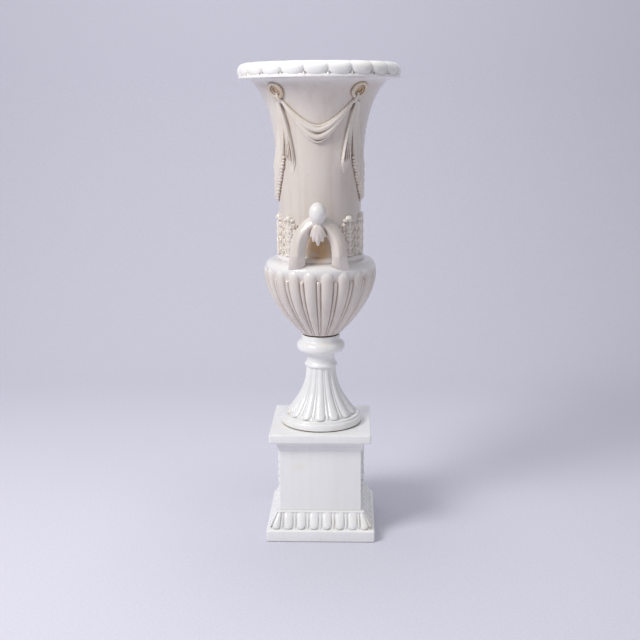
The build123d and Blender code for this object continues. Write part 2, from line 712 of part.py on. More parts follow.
def build():
    """Every piece by name."""
    outside = make_body_outside()
    neck = make_neck_solid()
    eye = make_eye(neck)
    swag = make_swag(neck)
    drape = make_drape(neck)
    nodes = {
        "plinth": make_plinth(),
        "wreath_right": make_wreath(),
        "felt_ring": make_felt_ring(),
        "stem_foot": make_stem_foot(),
        "joint_gasket": make_gasket(),
        "vase_body": make_body(outside),
        "handle_front": largest(make_handle(outside)),
        "acanthus_right": make_acanthus(neck),
        "swag_front": swag,
        "eye_front_right": eye,
        "drape_front_right": drape,
        **make_fasteners(),
    }
    for name in ("wreath", "acanthus"):
        nodes[f"{name}_left"] = mirror(nodes[f"{name}_right"], Plane.YZ)
    for name in ("handle", "swag"):
        nodes[f"{name}_back"] = nodes[f"{name}_front"].rotate(Axis.Z, 180)
    for name in ("eye", "drape"):
        front_right = nodes[f"{name}_front_right"]
        nodes[f"{name}_front_left"] = mirror(front_right, Plane.YZ)
        nodes[f"{name}_back_left"] = front_right.rotate(Axis.Z, 180)
        nodes[f"{name}_back_right"] = mirror(front_right, Plane.XZ)
    return nodes


def main():
    """Write one file per piece."""
    os.makedirs("parts", exist_ok=True)
    for name, solid in build().items():
        export_step(solid, f"parts/{name}.step")


if __name__ == "__main__":
    main()
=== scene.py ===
"""Looks of the two-handled pedestal vase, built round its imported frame.

Sizes are metres in the row frame: the origin is under the plinth, +Z is up and the handles are on
the Y axis.  An azimuth is counted from the front, the -Y side, towards +X.
"""
import logging
import math
from contextlib import contextmanager
from dataclasses import dataclass
from enum import Enum
from typing import Any, Callable, Iterator, Sequence

import bpy
import numpy as np
from mathutils import Euler, Matrix, Vector


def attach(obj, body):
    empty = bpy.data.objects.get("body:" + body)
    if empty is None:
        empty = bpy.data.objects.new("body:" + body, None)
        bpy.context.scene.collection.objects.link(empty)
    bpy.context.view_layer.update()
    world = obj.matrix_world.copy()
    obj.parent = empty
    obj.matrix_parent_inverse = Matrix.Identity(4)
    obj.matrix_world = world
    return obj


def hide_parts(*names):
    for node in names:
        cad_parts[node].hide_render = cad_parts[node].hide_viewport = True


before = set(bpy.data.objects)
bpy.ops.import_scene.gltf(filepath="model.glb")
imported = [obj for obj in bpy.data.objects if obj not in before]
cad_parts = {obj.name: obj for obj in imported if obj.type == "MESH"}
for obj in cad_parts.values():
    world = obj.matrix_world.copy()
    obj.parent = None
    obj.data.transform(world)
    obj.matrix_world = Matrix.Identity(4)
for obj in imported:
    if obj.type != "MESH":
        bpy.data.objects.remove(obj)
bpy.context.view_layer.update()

LOG = logging.getLogger("vase")
MM = 0.001
WELD = 2e-6
FULL_TURN = 2 * math.pi


class Body(Enum):
    """The bodies that pieces ride on."""

    PLINTH = "plinth"
    URN = "urn"


class Slot(Enum):
    """The record's material slots."""

    GLAZE = "glaze"
    PLINTH_GLAZE = "plinth_glaze"
    FELT = "felt"
    CORK = "cork"
    RUBBER = "rubber"
    STEEL = "zinc_steel"


class Side(Enum):
    """The sign of a side along X or Y."""

    LOW = -1
    HIGH = 1


# Modelling


def select_only(*objs: bpy.types.Object) -> None:
    """Select these objects and nothing else, the first one active.

    Args:
        objs: the objects.
    """
    bpy.ops.object.select_all(action="DESELECT")
    for obj in objs:
        obj.select_set(True)
    bpy.context.view_layer.objects.active = objs[0]


def added(name: str) -> bpy.types.Object:
    """Name the active object and its mesh, and return it.

    Args:
        name: the name.

    Returns:
        The object.
    """
    obj = bpy.context.object
    obj.name = name
    obj.data.name = name
    return obj


def primitive(name: str, add: Callable[..., Any], **settings: Any) -> bpy.types.Object:
    """Add a primitive with nothing else selected.

    Args:
        name: the object's name.
        add: the operator that adds it.
        settings: the operator's own settings.

    Returns:
        The primitive.
    """
    bpy.ops.object.select_all(action="DESELECT")
    add(**settings)
    return added(name)


@contextmanager
def editing(obj: bpy.types.Object) -> Iterator[None]:
    """Edit mode on one object with its whole mesh selected, and object mode again after it.

    Args:
        obj: the object.
    """
    select_only(obj)
    bpy.ops.object.mode_set(mode="EDIT")
    bpy.ops.mesh.select_all(action="SELECT")
    yield
    bpy.ops.object.mode_set(mode="OBJECT")


def applied(obj: bpy.types.Object, kind: str, **settings: Any) -> None:
    """Give an object a modifier with these settings and apply it.

    Args:
        obj: the object.
        kind: the modifier's type.
        settings: the modifier's own settings.
    """
    select_only(obj)
    modifier = obj.modifiers.new(kind.lower(), kind)
    for key, value in settings.items():
        setattr(modifier, key, value)
    bpy.ops.object.modifier_apply(modifier=modifier.name)


def settle(obj: bpy.types.Object) -> None:
    """Put the object's place, turn and size into its mesh."""
    select_only(obj)
    bpy.ops.object.transform_apply(location=True, rotation=True, scale=True)


def smooth(obj: bpy.types.Object, angle: float = 35.0) -> None:
    """Shade smooth up to an angle in degrees."""
    select_only(obj)
    bpy.ops.object.shade_smooth_by_angle(angle=math.radians(angle))


def weld(obj: bpy.types.Object) -> None:
    """Merge doubles, close any open end and turn the faces outwards.

    Args:
        obj: the object.
    """
    with editing(obj):
        bpy.ops.mesh.remove_doubles(threshold=WELD)
        bpy.ops.mesh.select_all(action="SELECT")
        bpy.ops.mesh.fill_holes(sides=0)
        bpy.ops.mesh.select_all(action="SELECT")
        bpy.ops.mesh.normals_make_consistent(inside=False)


def read_points(obj: bpy.types.Object) -> np.ndarray:
    """The mesh's vertices, one row each.

    Args:
        obj: the object.

    Returns:
        The vertices, in metres.
    """
    points = np.empty(len(obj.data.vertices) * 3)
    obj.data.vertices.foreach_get("co", points)
    return points.reshape(-1, 3)


def write_points(obj: bpy.types.Object, points: np.ndarray) -> None:
    """Move the mesh's vertices to these points."""
    obj.data.vertices.foreach_set("co", points.astype(np.float32).ravel())
    obj.data.update()


def sheet(name: str, points: np.ndarray) -> bpy.types.Object:
    """A grid primitive laid through rows and columns of points.

    Args:
        name: the object's name.
        points: rows by columns by three, in metres.

    Returns:
        The open sheet, not welded.
    """
    rows, columns = points.shape[:2]
    obj = primitive(name, bpy.ops.mesh.primitive_grid_add, size=1,
                    x_subdivisions=columns - 1, y_subdivisions=rows - 1)
    write_points(obj, points.reshape(-1, 3))
    return obj


def spun(name: str, profile: Sequence[tuple[float, float]], steps: int) -> bpy.types.Object:
    """Extrude a closed profile point by point and spin it round the Z axis.

    Args:
        name: the object's name.
        profile: radius and height of each point, in metres.
        steps: how many samples go round.

    Returns:
        The closed solid.
    """
    loop = [*profile, profile[0]]
    obj = primitive(name, bpy.ops.mesh.primitive_plane_add, size=MM, location=(0, 0, 0))
    with editing(obj):
        bpy.ops.mesh.merge(type="CENTER")
        bpy.ops.mesh.select_all(action="SELECT")
        bpy.ops.transform.translate(value=(loop[0][0], 0, loop[0][1]))
        for (radius, height), (next_radius, next_height) in zip(loop, loop[1:]):
            step = (next_radius - radius, 0, next_height - height)
            bpy.ops.mesh.extrude_region_move(TRANSFORM_OT_translate={"value": step})
        bpy.ops.mesh.select_all(action="SELECT")
        bpy.ops.mesh.spin(steps=steps, angle=FULL_TURN, center=(0, 0, 0), axis=(0, 0, 1))
    weld(obj)
    return obj


def tube(name: str, path: np.ndarray, side: np.ndarray, up: np.ndarray,
         half_w: np.ndarray, proud: np.ndarray, sunk: float, columns: int = 18) -> bpy.types.Object:
    """A closed fold: rings along a path, wide across and proud above it.

    Args:
        name: the object's name.
        path: the points of its middle line.
        side: unit vectors across it, one a point.
        up: unit vectors out of the surface it lies on, one a point.
        half_w: half its width at each point.
        proud: its height over the path at each point.
        sunk: how far its back lies under the path.
        columns: samples round a ring.

    Returns:
        The closed fold.
    """
    turn = np.linspace(0, FULL_TURN, columns + 1)
    lift = np.where(np.sin(turn)[None, :] > 0, proud[:, None], sunk) * np.sin(turn)[None, :]
    reach = half_w[:, None] * np.cos(turn)[None, :]
    points = path[:, None, :] + side[:, None, :] * reach[..., None] + up[:, None, :] * lift[..., None]
    obj = sheet(name, points)
    weld(obj)
    return obj


def joined(name: str, parts: Sequence[bpy.types.Object]) -> bpy.types.Object:
    """Join parts into one object.

    Args:
        name: the object's name.
        parts: the parts, the first one kept.

    Returns:
        The joined object.
    """
    select_only(*parts)
    bpy.ops.object.join()
    return added(name)


def fused(name: str, parts: Sequence[bpy.types.Object], voxel: float,
          rounds: int) -> bpy.types.Object:
    """Join overlapping parts and remesh them into one skin with soft joins.

    Args:
        name: the object's name.
        parts: the parts, each closed.
        voxel: the size of the new faces.
        rounds: how many times the skin is smoothed.

    Returns:
        The fused piece.
    """
    obj = joined(name, parts)
    applied(obj, "REMESH", mode="VOXEL", voxel_size=voxel)
    applied(obj, "SMOOTH", factor=0.5, iterations=rounds)
    return obj


def copied(obj: bpy.types.Object, name: str, place: Matrix) -> bpy.types.Object:
    """A copy with its own mesh, moved by a matrix that may mirror it.

    Args:
        obj: what is copied.
        name: the copy's name.
        place: the matrix applied to its mesh.

    Returns:
        The copy.
    """
    select_only(obj)
    bpy.ops.object.duplicate()
    copy = added(name)
    copy.data.transform(place)
    if place.determinant() < 0:
        copy.data.flip_normals()
    return copy


def turned(degrees: float) -> Matrix:
    """A turn about the Z axis that adds to a piece's azimuth."""
    return Matrix.Rotation(math.radians(degrees), 4, "Z")


MIRROR_X = Matrix.Diagonal((-1, 1, 1, 1))
MIRROR_Y = Matrix.Diagonal((1, -1, 1, 1))


def dressed(obj: bpy.types.Object, body: Body, finish: bpy.types.Material,
            nodes: Sequence[str] = (), angle: float = 35.0) -> bpy.types.Object:
    """Give a finished piece its material and body, and hide the solids that it stands for.

    Args:
        obj: the finished piece.
        body: the body it rides on.
        finish: its material.
        nodes: the solids that it replaces.
        angle: the shading angle in degrees.

    Returns:
        The piece.
    """
    smooth(obj, angle)
    obj.data.materials.clear()
    obj.data.materials.append(finish)
    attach(obj, body.value)
    if nodes:
        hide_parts(*nodes)
    LOG.info("%s: %d faces", obj.name, len(obj.data.polygons))
    return obj


# Shaders


def linear(red: int, green: int, blue: int) -> tuple[float, float, float, float]:
    """A display colour, 0 to 255 a channel, as the linear colour of a socket.

    Args:
        red: the red channel.
        green: the green channel.
        blue: the blue channel.

    Returns:
        The linear colour with a full alpha.
    """
    channels = []
    for value in (red, green, blue):
        share = value / 255
        channels.append(share / 12.92 if share <= 0.04045 else ((share + 0.055) / 1.055) ** 2.4)
    return (*channels, 1.0)


class Wire:
    """A number in a shader: Python arithmetic on it adds Math nodes."""

    def __init__(self, shader: "Shader", socket: bpy.types.NodeSocket) -> None:
        """Wrap a socket of a shader."""
        self.shader = shader
        self.socket = socket

    def _math(self, operation: str, first: Any, second: Any) -> "Wire":
        """The result of a Math node on two values."""
        node = self.shader.node("ShaderNodeMath", {"operation": operation}, {0: first, 1: second})
        return Wire(self.shader, node.outputs[0])

    def __add__(self, other: Any) -> "Wire":
        """This plus another."""
        return self._math("ADD", self, other)

    __radd__ = __add__

    def __sub__(self, other: Any) -> "Wire":
        """This less another."""
        return self._math("SUBTRACT", self, other)

    def __rsub__(self, other: Any) -> "Wire":
        """Another less this."""
        return self._math("SUBTRACT", other, self)

    def __mul__(self, other: Any) -> "Wire":
        """This times another."""
        return self._math("MULTIPLY", self, other)

    __rmul__ = __mul__

    def between(self, low: float, high: float) -> "Wire":
        """A smooth step from 0 at low to 1 at high."""
        node = self.shader.node("ShaderNodeMapRange", {"interpolation_type": "SMOOTHSTEP"},
                                {0: self, 1: low, 2: high, 3: 0.0, 4: 1.0})
        return Wire(self.shader, node.outputs[0])


class Tree:
    """A node tree under construction."""

    def __init__(self, tree: bpy.types.NodeTree) -> None:
        """Start afresh in a tree."""
        self.tree = tree
        self.tree.nodes.clear()

    def put(self, socket: bpy.types.NodeSocket, value: Any) -> None:
        """Link a wire or an output to an input, or else set the input's value.

        Args:
            socket: the input.
            value: a wire, an output or a plain value.
        """
        if isinstance(value, Wire):
            value = value.socket
        if isinstance(value, bpy.types.NodeSocket):
            self.tree.links.new(value, socket)
        else:
            socket.default_value = value

    def node(self, kind: str, settings: dict[str, Any] | None = None,
             sockets: dict[Any, Any] | None = None) -> bpy.types.Node:
        """Add a node.

        Args:
            kind: the node's type.
            settings: its own settings, set first.
            sockets: values or links of its inputs, by name or number.

        Returns:
            The node.
        """
        made = self.tree.nodes.new(kind)
        for key, value in (settings or {}).items():
            setattr(made, key, value)
        for key, value in (sockets or {}).items():
            self.put(made.inputs[key], value)
        return made


class Shader(Tree):
    """A material under construction, round one Principled node."""

    def __init__(self, name: str) -> None:
        """Start a material with this name.

        Args:
            name: the material's name.
        """
        self.material = bpy.data.materials.new(name)
        self.material.use_nodes = True
        super().__init__(self.material.node_tree)
        self.surface = self.node("ShaderNodeBsdfPrincipled")
        self.node("ShaderNodeOutputMaterial", sockets={"Surface": self.surface.outputs[0]})
        self.place = self.node("ShaderNodeTexCoord").outputs["Object"]

    def noise(self, scale: float, detail: float = 3.0, rough: float = 0.5) -> Wire:
        """Noise over the object's own coordinates; scale is in features a metre.

        Args:
            scale: features a metre.
            detail: how many finer layers it has.
            rough: how strong the finer layers are.

        Returns:
            The noise, from 0 to 1.
        """
        made = self.node("ShaderNodeTexNoise", sockets={
            "Vector": self.place, "Scale": scale, "Detail": detail, "Roughness": rough})
        return Wire(self, made.outputs["Fac"])

    def runs(self, across: float, along: float) -> Wire:
        """Noise drawn out along the Z axis, as runs of glaze are.

        Args:
            across: features a metre across the runs.
            along: features a metre along them.

        Returns:
            The noise, from 0 to 1.
        """
        drawn = self.node("ShaderNodeMapping", sockets={
            "Vector": self.place, "Scale": (across, across, along)})
        made = self.node("ShaderNodeTexNoise", sockets={
            "Vector": drawn.outputs[0], "Scale": 1.0, "Detail": 3.0})
        return Wire(self, made.outputs["Fac"])

    def axis(self, name: str) -> Wire:
        """One coordinate of the object's own place."""
        return Wire(self, self.node("ShaderNodeSeparateXYZ", sockets={0: self.place}).outputs[name])

    def near(self, spot: tuple[float, float, float], radius: float) -> Wire:
        """1 at a spot, falling smoothly to 0 at a radius from it."""
        made = self.node("ShaderNodeVectorMath", {"operation": "DISTANCE"}, {0: self.place, 1: spot})
        return 1 - Wire(self, made.outputs["Value"]).between(0.35 * radius, radius)

    def mixed(self, first: Any, second: Any, share: Wire) -> bpy.types.NodeSocket:
        """A colour between two colours."""
        made = self.node("ShaderNodeMix", {"data_type": "RGBA", "clamp_factor": True},
                         {0: share, 6: first, 7: second})
        return made.outputs[2]

    def crevices(self, reach: float, low: float, high: float) -> Wire:
        """1 deep in a crevice of about this reach, 0 on open surface."""
        made = self.node("ShaderNodeAmbientOcclusion", {"samples": 8}, {"Distance": reach})
        return (1 - Wire(self, made.outputs["AO"])).between(low, high)

    def bump(self, height: Wire, depth: float) -> None:
        """Feed a height into the surface's normal."""
        made = self.node("ShaderNodeBump", sockets={"Strength": 1.0, "Distance": depth, "Height": height})
        self.feed("Normal", made.outputs[0])

    def feed(self, name: str, value: Any) -> None:
        """Set or link one input of the surface."""
        self.put(self.surface.inputs[name], value)


@dataclass(frozen=True)
class Glaze:
    """A glossy glaze that pools, thins on edges and is brown in its crevices: partly old stain, partly
    painted shade.
    """

    name: str
    tint: tuple[int, int, int]
    pool: tuple[int, int, int]
    stain_and_shade: tuple[int, int, int]
    stain_and_shade_share: float
    patch: tuple[int, int, int]
    patch_share: float
    stain_and_shade_reach: float = 0.007
    white: tuple[int, int, int] = (247, 246, 245)
    white_bands: tuple[tuple[float, float, float, float, float], ...] = ()
    amber: tuple[int, int, int] = (204, 166, 118)
    spots: tuple[tuple[tuple[float, float, float], float, float], ...] = ()

    def build(self) -> bpy.types.Material:
        """The material.

        Returns:
            The material.
        """
        made = Shader(self.name)
        cloud = made.noise(9.0, 4.0, 0.55).between(0.35, 0.7)
        streaks = made.runs(70.0, 3.5).between(0.44, 0.66)
        colour = made.mixed(linear(*self.tint), linear(*self.pool), 0.45 * cloud + 0.55 * streaks)
        height = made.axis("Z")
        for low, full, fade, end, share in self.white_bands:
            band = height.between(low, full) * (1 - height.between(fade, end)) * share
            colour = made.mixed(colour, linear(*self.white), band)
        blotch = made.noise(14.0, 2.0, 0.5).between(0.58, 0.76)
        colour = made.mixed(colour, linear(*self.patch), blotch * self.patch_share)
        wander = made.noise(60.0, 4.0, 0.6).between(0.3, 0.65)
        for centre, radius, share in self.spots:
            glow = made.near(centre, radius) * (0.5 + 0.5 * wander) * share
            colour = made.mixed(colour, linear(*self.amber), glow)
        # Painted shade: brown is mixed in where ambient occlusion finds crevices. Part of it is old stain
        # in the hollows and part is the shade that falls there. The same mask also roughens the glaze and
        # thins its coat.
        stain_and_shade_mask = made.crevices(self.stain_and_shade_reach, 0.12, 0.55) * (0.45 + 0.55 * wander) * self.stain_and_shade_share
        colour = made.mixed(colour, linear(*self.stain_and_shade), stain_and_shade_mask)
        specks = made.noise(420.0, 1.0, 0.4).between(0.74, 0.8)
        colour = made.mixed(colour, linear(150, 128, 104), specks * 0.25)
        made.feed("Base Color", colour)
        made.feed("Roughness", 0.13 + 0.12 * made.noise(30.0, 3.0) + 0.25 * stain_and_shade_mask)
        made.feed("Coat Weight", 0.35 - 0.25 * stain_and_shade_mask)
        made.feed("Coat Roughness", 0.06)
        made.feed("IOR", 1.5)
        ripple = made.noise(38.0, 2.0) + 0.25 * made.noise(170.0, 2.0)
        made.bump(ripple, 0.0006)
        return made.material


# Each glaze's crevice colour and share set the brown in its hollows, partly old stain and partly painted
# shade.
HANDLE_GLAZE = Glaze(
    "handle_glaze", tint=(230, 222, 214), pool=(219, 208, 198), stain_and_shade=(124, 84, 48), stain_and_shade_share=0.5,
    patch=(232, 214, 184), patch_share=0.14, white_bands=((0.572, 0.600, 0.9, 1.0, 0.7),))
CLOTH_GLAZE = Glaze(
    "cloth_glaze", tint=(236, 229, 221), pool=(225, 214, 202), stain_and_shade=(118, 80, 44), stain_and_shade_share=0.75,
    patch=(230, 206, 166), patch_share=0.22)
LEAF_GLAZE = Glaze(
    "leaf_glaze", tint=(240, 234, 226), pool=(229, 220, 208), stain_and_shade=(126, 92, 58), stain_and_shade_share=0.5,
    patch=(230, 206, 166), patch_share=0.18, stain_and_shade_reach=0.0045)
RING_GLAZE = Glaze(
    "ring_glaze", tint=(230, 218, 202), pool=(212, 188, 154), stain_and_shade=(116, 72, 34), stain_and_shade_share=0.85,
    patch=(196, 150, 96), patch_share=0.45)
WHITE_GLAZE = Glaze(
    "white_glaze", tint=(247, 247, 246), pool=(242, 242, 241), stain_and_shade=(150, 138, 122), stain_and_shade_share=0.3,
    patch=(242, 234, 202), patch_share=0.30, stain_and_shade_reach=0.004)


@dataclass(frozen=True)
class Felt:
    """A pressed felt with short fibres."""

    tint: tuple[int, int, int]
    thread: tuple[int, int, int]

    def build(self) -> bpy.types.Material:
        """The material.

        Returns:
            The material.
        """
        made = Shader("felt")
        fibres = made.noise(1400.0, 4.0, 0.7).between(0.35, 0.7)
        made.feed("Base Color", made.mixed(linear(*self.tint), linear(*self.thread), fibres * 0.7))
        made.feed("Roughness", 0.85 + 0.12 * fibres)
        made.feed("Sheen Weight", 0.25)
        made.bump(fibres, 0.0003)
        return made.material


@dataclass(frozen=True)
class Cork:
    """Ground cork darkened by age."""

    tint: tuple[int, int, int]
    grain: tuple[int, int, int]

    def build(self) -> bpy.types.Material:
        """The material.

        Returns:
            The material.
        """
        made = Shader("cork")
        cells = made.node("ShaderNodeTexVoronoi", sockets={"Vector": made.place, "Scale": 500.0})
        grains = Wire(made, cells.outputs["Distance"]).between(0.1, 0.7)
        made.feed("Base Color", made.mixed(linear(*self.tint), linear(*self.grain), grains))
        made.feed("Roughness", 0.75 + 0.2 * grains)
        made.bump(grains, 0.0003)
        return made.material


@dataclass(frozen=True)
class Rubber:
    """A moulded seal with a light bloom."""

    tint: tuple[int, int, int]
    bloom: tuple[int, int, int]

    def build(self) -> bpy.types.Material:
        """The material.

        Returns:
            The material.
        """
        made = Shader("rubber")
        haze = made.noise(120.0, 4.0, 0.6).between(0.4, 0.75)
        made.feed("Base Color", made.mixed(linear(*self.tint), linear(*self.bloom), haze * 0.5))
        made.feed("Roughness", 0.5 + 0.3 * haze)
        made.bump(made.noise(900.0, 2.0), 0.0001)
        return made.material


@dataclass(frozen=True)
class ZincSteel:
    """Zinc-plated steel with dull patches."""

    tint: tuple[int, int, int]
    dull: tuple[int, int, int]

    def build(self) -> bpy.types.Material:
        """The material.

        Returns:
            The material.
        """
        made = Shader("zinc_steel")
        patches = made.noise(180.0, 4.0, 0.6).between(0.35, 0.7)
        made.feed("Base Color", made.mixed(linear(*self.tint), linear(*self.dull), patches))
        made.feed("Metallic", 1.0)
        made.feed("Roughness", 0.28 + 0.25 * patches)
        made.bump(made.noise(1500.0, 2.0), 0.00004)
        return made.material


# Carving


def span(value: np.ndarray | float, low: float, high: float) -> np.ndarray | float:
    """How far a value is on the way from low to high, held between 0 and 1."""
    return np.clip((value - low) / (high - low), 0, 1)


def in_mm(points: Sequence[tuple[float, float]]) -> list[tuple[float, float]]:
    """Points written in millimetres, as metres."""
    return [(first * MM, second * MM) for first, second in points]


def lobe_cell(azimuth: np.ndarray, count: int, valley_front: bool) -> np.ndarray:
    """How far across its cell a point is: 0 on a lobe's middle and 1 on the line between two.

    Args:
        azimuth: the azimuths, in radians.
        count: how many lobes go round.
        valley_front: put a line between two lobes at the front.

    Returns:
        The share, from 0 to 1.
    """
    share = azimuth * count / FULL_TURN + (0.0 if valley_front else 0.5)
    return np.abs(2 * (share - np.floor(share)) - 1)


def round_lobe(across: np.ndarray, width: float, cap: np.ndarray) -> np.ndarray:
    """The height share of a round lobe; cap runs from 0 to 1 over its rounded end."""
    return np.sqrt(np.clip(1 - (across / width) ** 2 - np.clip(cap, 0, None) ** 2, 0, 1))


def ridge(across: np.ndarray, width: float, end: np.ndarray) -> np.ndarray:
    """The height share of the thin dart between two lobes; end runs from 0 to 1 over its tip."""
    offset = (1 - across) / (1 - width)
    return np.sqrt(np.clip(1 - offset ** 2 - np.clip(end, 0, None) ** 2, 0, 1))


def even(points: Sequence[tuple[float, float]], spacing: float) -> list[tuple[float, float]]:
    """Points at an even spacing along a run of points, both ends kept.

    Args:
        points: the run's points.
        spacing: the spacing wanted.

    Returns:
        The new points.
    """
    run = np.array(points)
    lengths = np.concatenate([[0], np.cumsum(np.hypot(*np.diff(run, axis=0).T))])
    count = max(1, round(lengths[-1] / spacing))
    at = np.linspace(0, lengths[-1], count + 1)
    return list(zip(np.interp(at, lengths, run[:, 0]), np.interp(at, lengths, run[:, 1])))


def arc(centre: tuple[float, float], reach: tuple[float, float], start: float, end: float,
        count: int) -> list[tuple[float, float]]:
    """Points of an ellipse's arc between two angles in degrees.

    Args:
        centre: the ellipse's centre.
        reach: its two half axes.
        start: the first angle.
        end: the last angle.
        count: how many points.

    Returns:
        The points, both ends among them.
    """
    turns = np.radians(np.linspace(start, end, count))
    return [(centre[0] + reach[0] * math.cos(t), centre[1] + reach[1] * math.sin(t)) for t in turns]


def carved(obj: bpy.types.Object, profile: Sequence[tuple[float, float]],
           depth: Callable[[np.ndarray, np.ndarray, np.ndarray], np.ndarray], level: bool) -> None:
    """Carve a spun solid inwards from its profile.

    Args:
        obj: the spun solid.
        profile: the profile it was spun from.
        depth: how deep the carving is at a profile number, an azimuth and a height.
        level: carve level instead of square to the profile.
    """
    run = np.array(profile)
    points = read_points(obj)
    radius = np.hypot(points[:, 0], points[:, 1])
    azimuth = np.arctan2(points[:, 0], -points[:, 1])
    number = np.empty(len(points), int)
    for start in range(0, len(points), 8000):
        block = slice(start, start + 8000)
        gap = (radius[block, None] - run[None, :, 0]) ** 2 + (points[block, 2, None] - run[None, :, 1]) ** 2
        number[block] = gap.argmin(1)
    along = np.roll(run, -1, 0) - np.roll(run, 1, 0)
    along /= np.hypot(*along.T)[:, None]
    outward = np.stack([along[:, 1], -along[:, 0]], 1)
    if level:
        outward = np.stack([np.ones(len(run)), np.zeros(len(run))], 1)
    cut = depth(number, azimuth, points[:, 2])
    new_radius = radius - outward[number, 0] * cut
    points[:, 2] -= outward[number, 1] * cut
    points[:, 0] = new_radius * np.sin(azimuth)
    points[:, 1] = -new_radius * np.cos(azimuth)
    write_points(obj, points)


# Pieces


@dataclass
class Neck:
    """The plain surface of the neck, which the relief lies on."""

    foot_r: float = 72.6 * MM
    body_r: float = 78.0 * MM
    mouth_out: float = 56.0 * MM
    z_neck: float = 517.7 * MM
    z_taper: float = 591.7 * MM
    z_mouth: float = 681.7 * MM
    z_rim: float = 821.7 * MM
    rise_limit: float = 0.999

    def radius(self, height: np.ndarray | float) -> np.ndarray:
        """The neck's radius at a height.

        Args:
            height: the heights.

        Returns:
            The radius at each.
        """
        height = np.asarray(height, float)
        rise = np.minimum(span(height, self.z_mouth, self.z_rim), self.rise_limit)
        taper = span(height, self.z_taper, self.z_mouth)
        straight = self.foot_r + (self.body_r - self.foot_r) * taper
        return straight + self.mouth_out * (1 - np.sqrt(1 - rise ** 2))

    def mouth(self, inset: float, start: float, end: float, count: int) -> list[tuple[float, float]]:
        """Points of the mouth's curve.

        Args:
            inset: how far they lie inside the mouth's outer face.
            start: the angle on the curve's ellipse where they start, in degrees.
            end: the angle where they end.
            count: how many there are.

        Returns:
            The radius and height of each point.
        """
        centre = (self.body_r + self.mouth_out, self.z_mouth)
        reach = (-self.mouth_out - inset, self.z_rim - self.z_mouth + inset)
        return arc(centre, reach, start, end, count)

    def outward(self, azimuth: np.ndarray, height: np.ndarray) -> np.ndarray:
        """Unit vectors square to the neck at azimuths in degrees and heights.

        Args:
            azimuth: the azimuths, in degrees.
            height: the heights.

        Returns:
            The unit vectors.
        """
        turn = np.radians(azimuth)
        slope = (self.radius(height + MM) - self.radius(height - MM)) / (2 * MM)
        vectors = np.stack([np.sin(turn), -np.cos(turn), -slope], -1)
        return vectors / np.linalg.norm(vectors, axis=-1, keepdims=True)

    def point(self, azimuth: np.ndarray, height: np.ndarray, lift: np.ndarray | float = 0.0) -> np.ndarray:
        """Points over the neck at azimuths in degrees, heights and a lift square to it.

        Args:
            azimuth: the azimuths, in degrees.
            height: the heights.
            lift: how far the points lie over the neck.

        Returns:
            The points.
        """
        turn = np.radians(azimuth)
        reach = self.radius(height)
        base = np.stack([reach * np.sin(turn), -reach * np.cos(turn), height], -1)
        return base + self.outward(azimuth, height) * np.asarray(lift)[..., None]

    def fold(self, name: str, azimuth: np.ndarray, height: np.ndarray, half_w: np.ndarray,
             proud: np.ndarray, lift: float = 0.0) -> bpy.types.Object:
        """A fold of cloth that lies along the neck.

        Args:
            name: the object's name.
            azimuth: the azimuths of its middle line, in degrees.
            height: the heights of its middle line.
            half_w: half its width along that line.
            proud: its height along that line.
            lift: how far its middle line lies over the neck.

        Returns:
            The closed fold.
        """
        path = self.point(azimuth, height, np.full(len(azimuth), lift))
        along = np.gradient(path, axis=0)
        along /= np.linalg.norm(along, axis=1, keepdims=True)
        up = self.outward(azimuth, height)
        side = np.cross(along, up)
        side /= np.linalg.norm(side, axis=1, keepdims=True)
        return tube(name, path, side, up, half_w, proud, 2 * MM + lift)


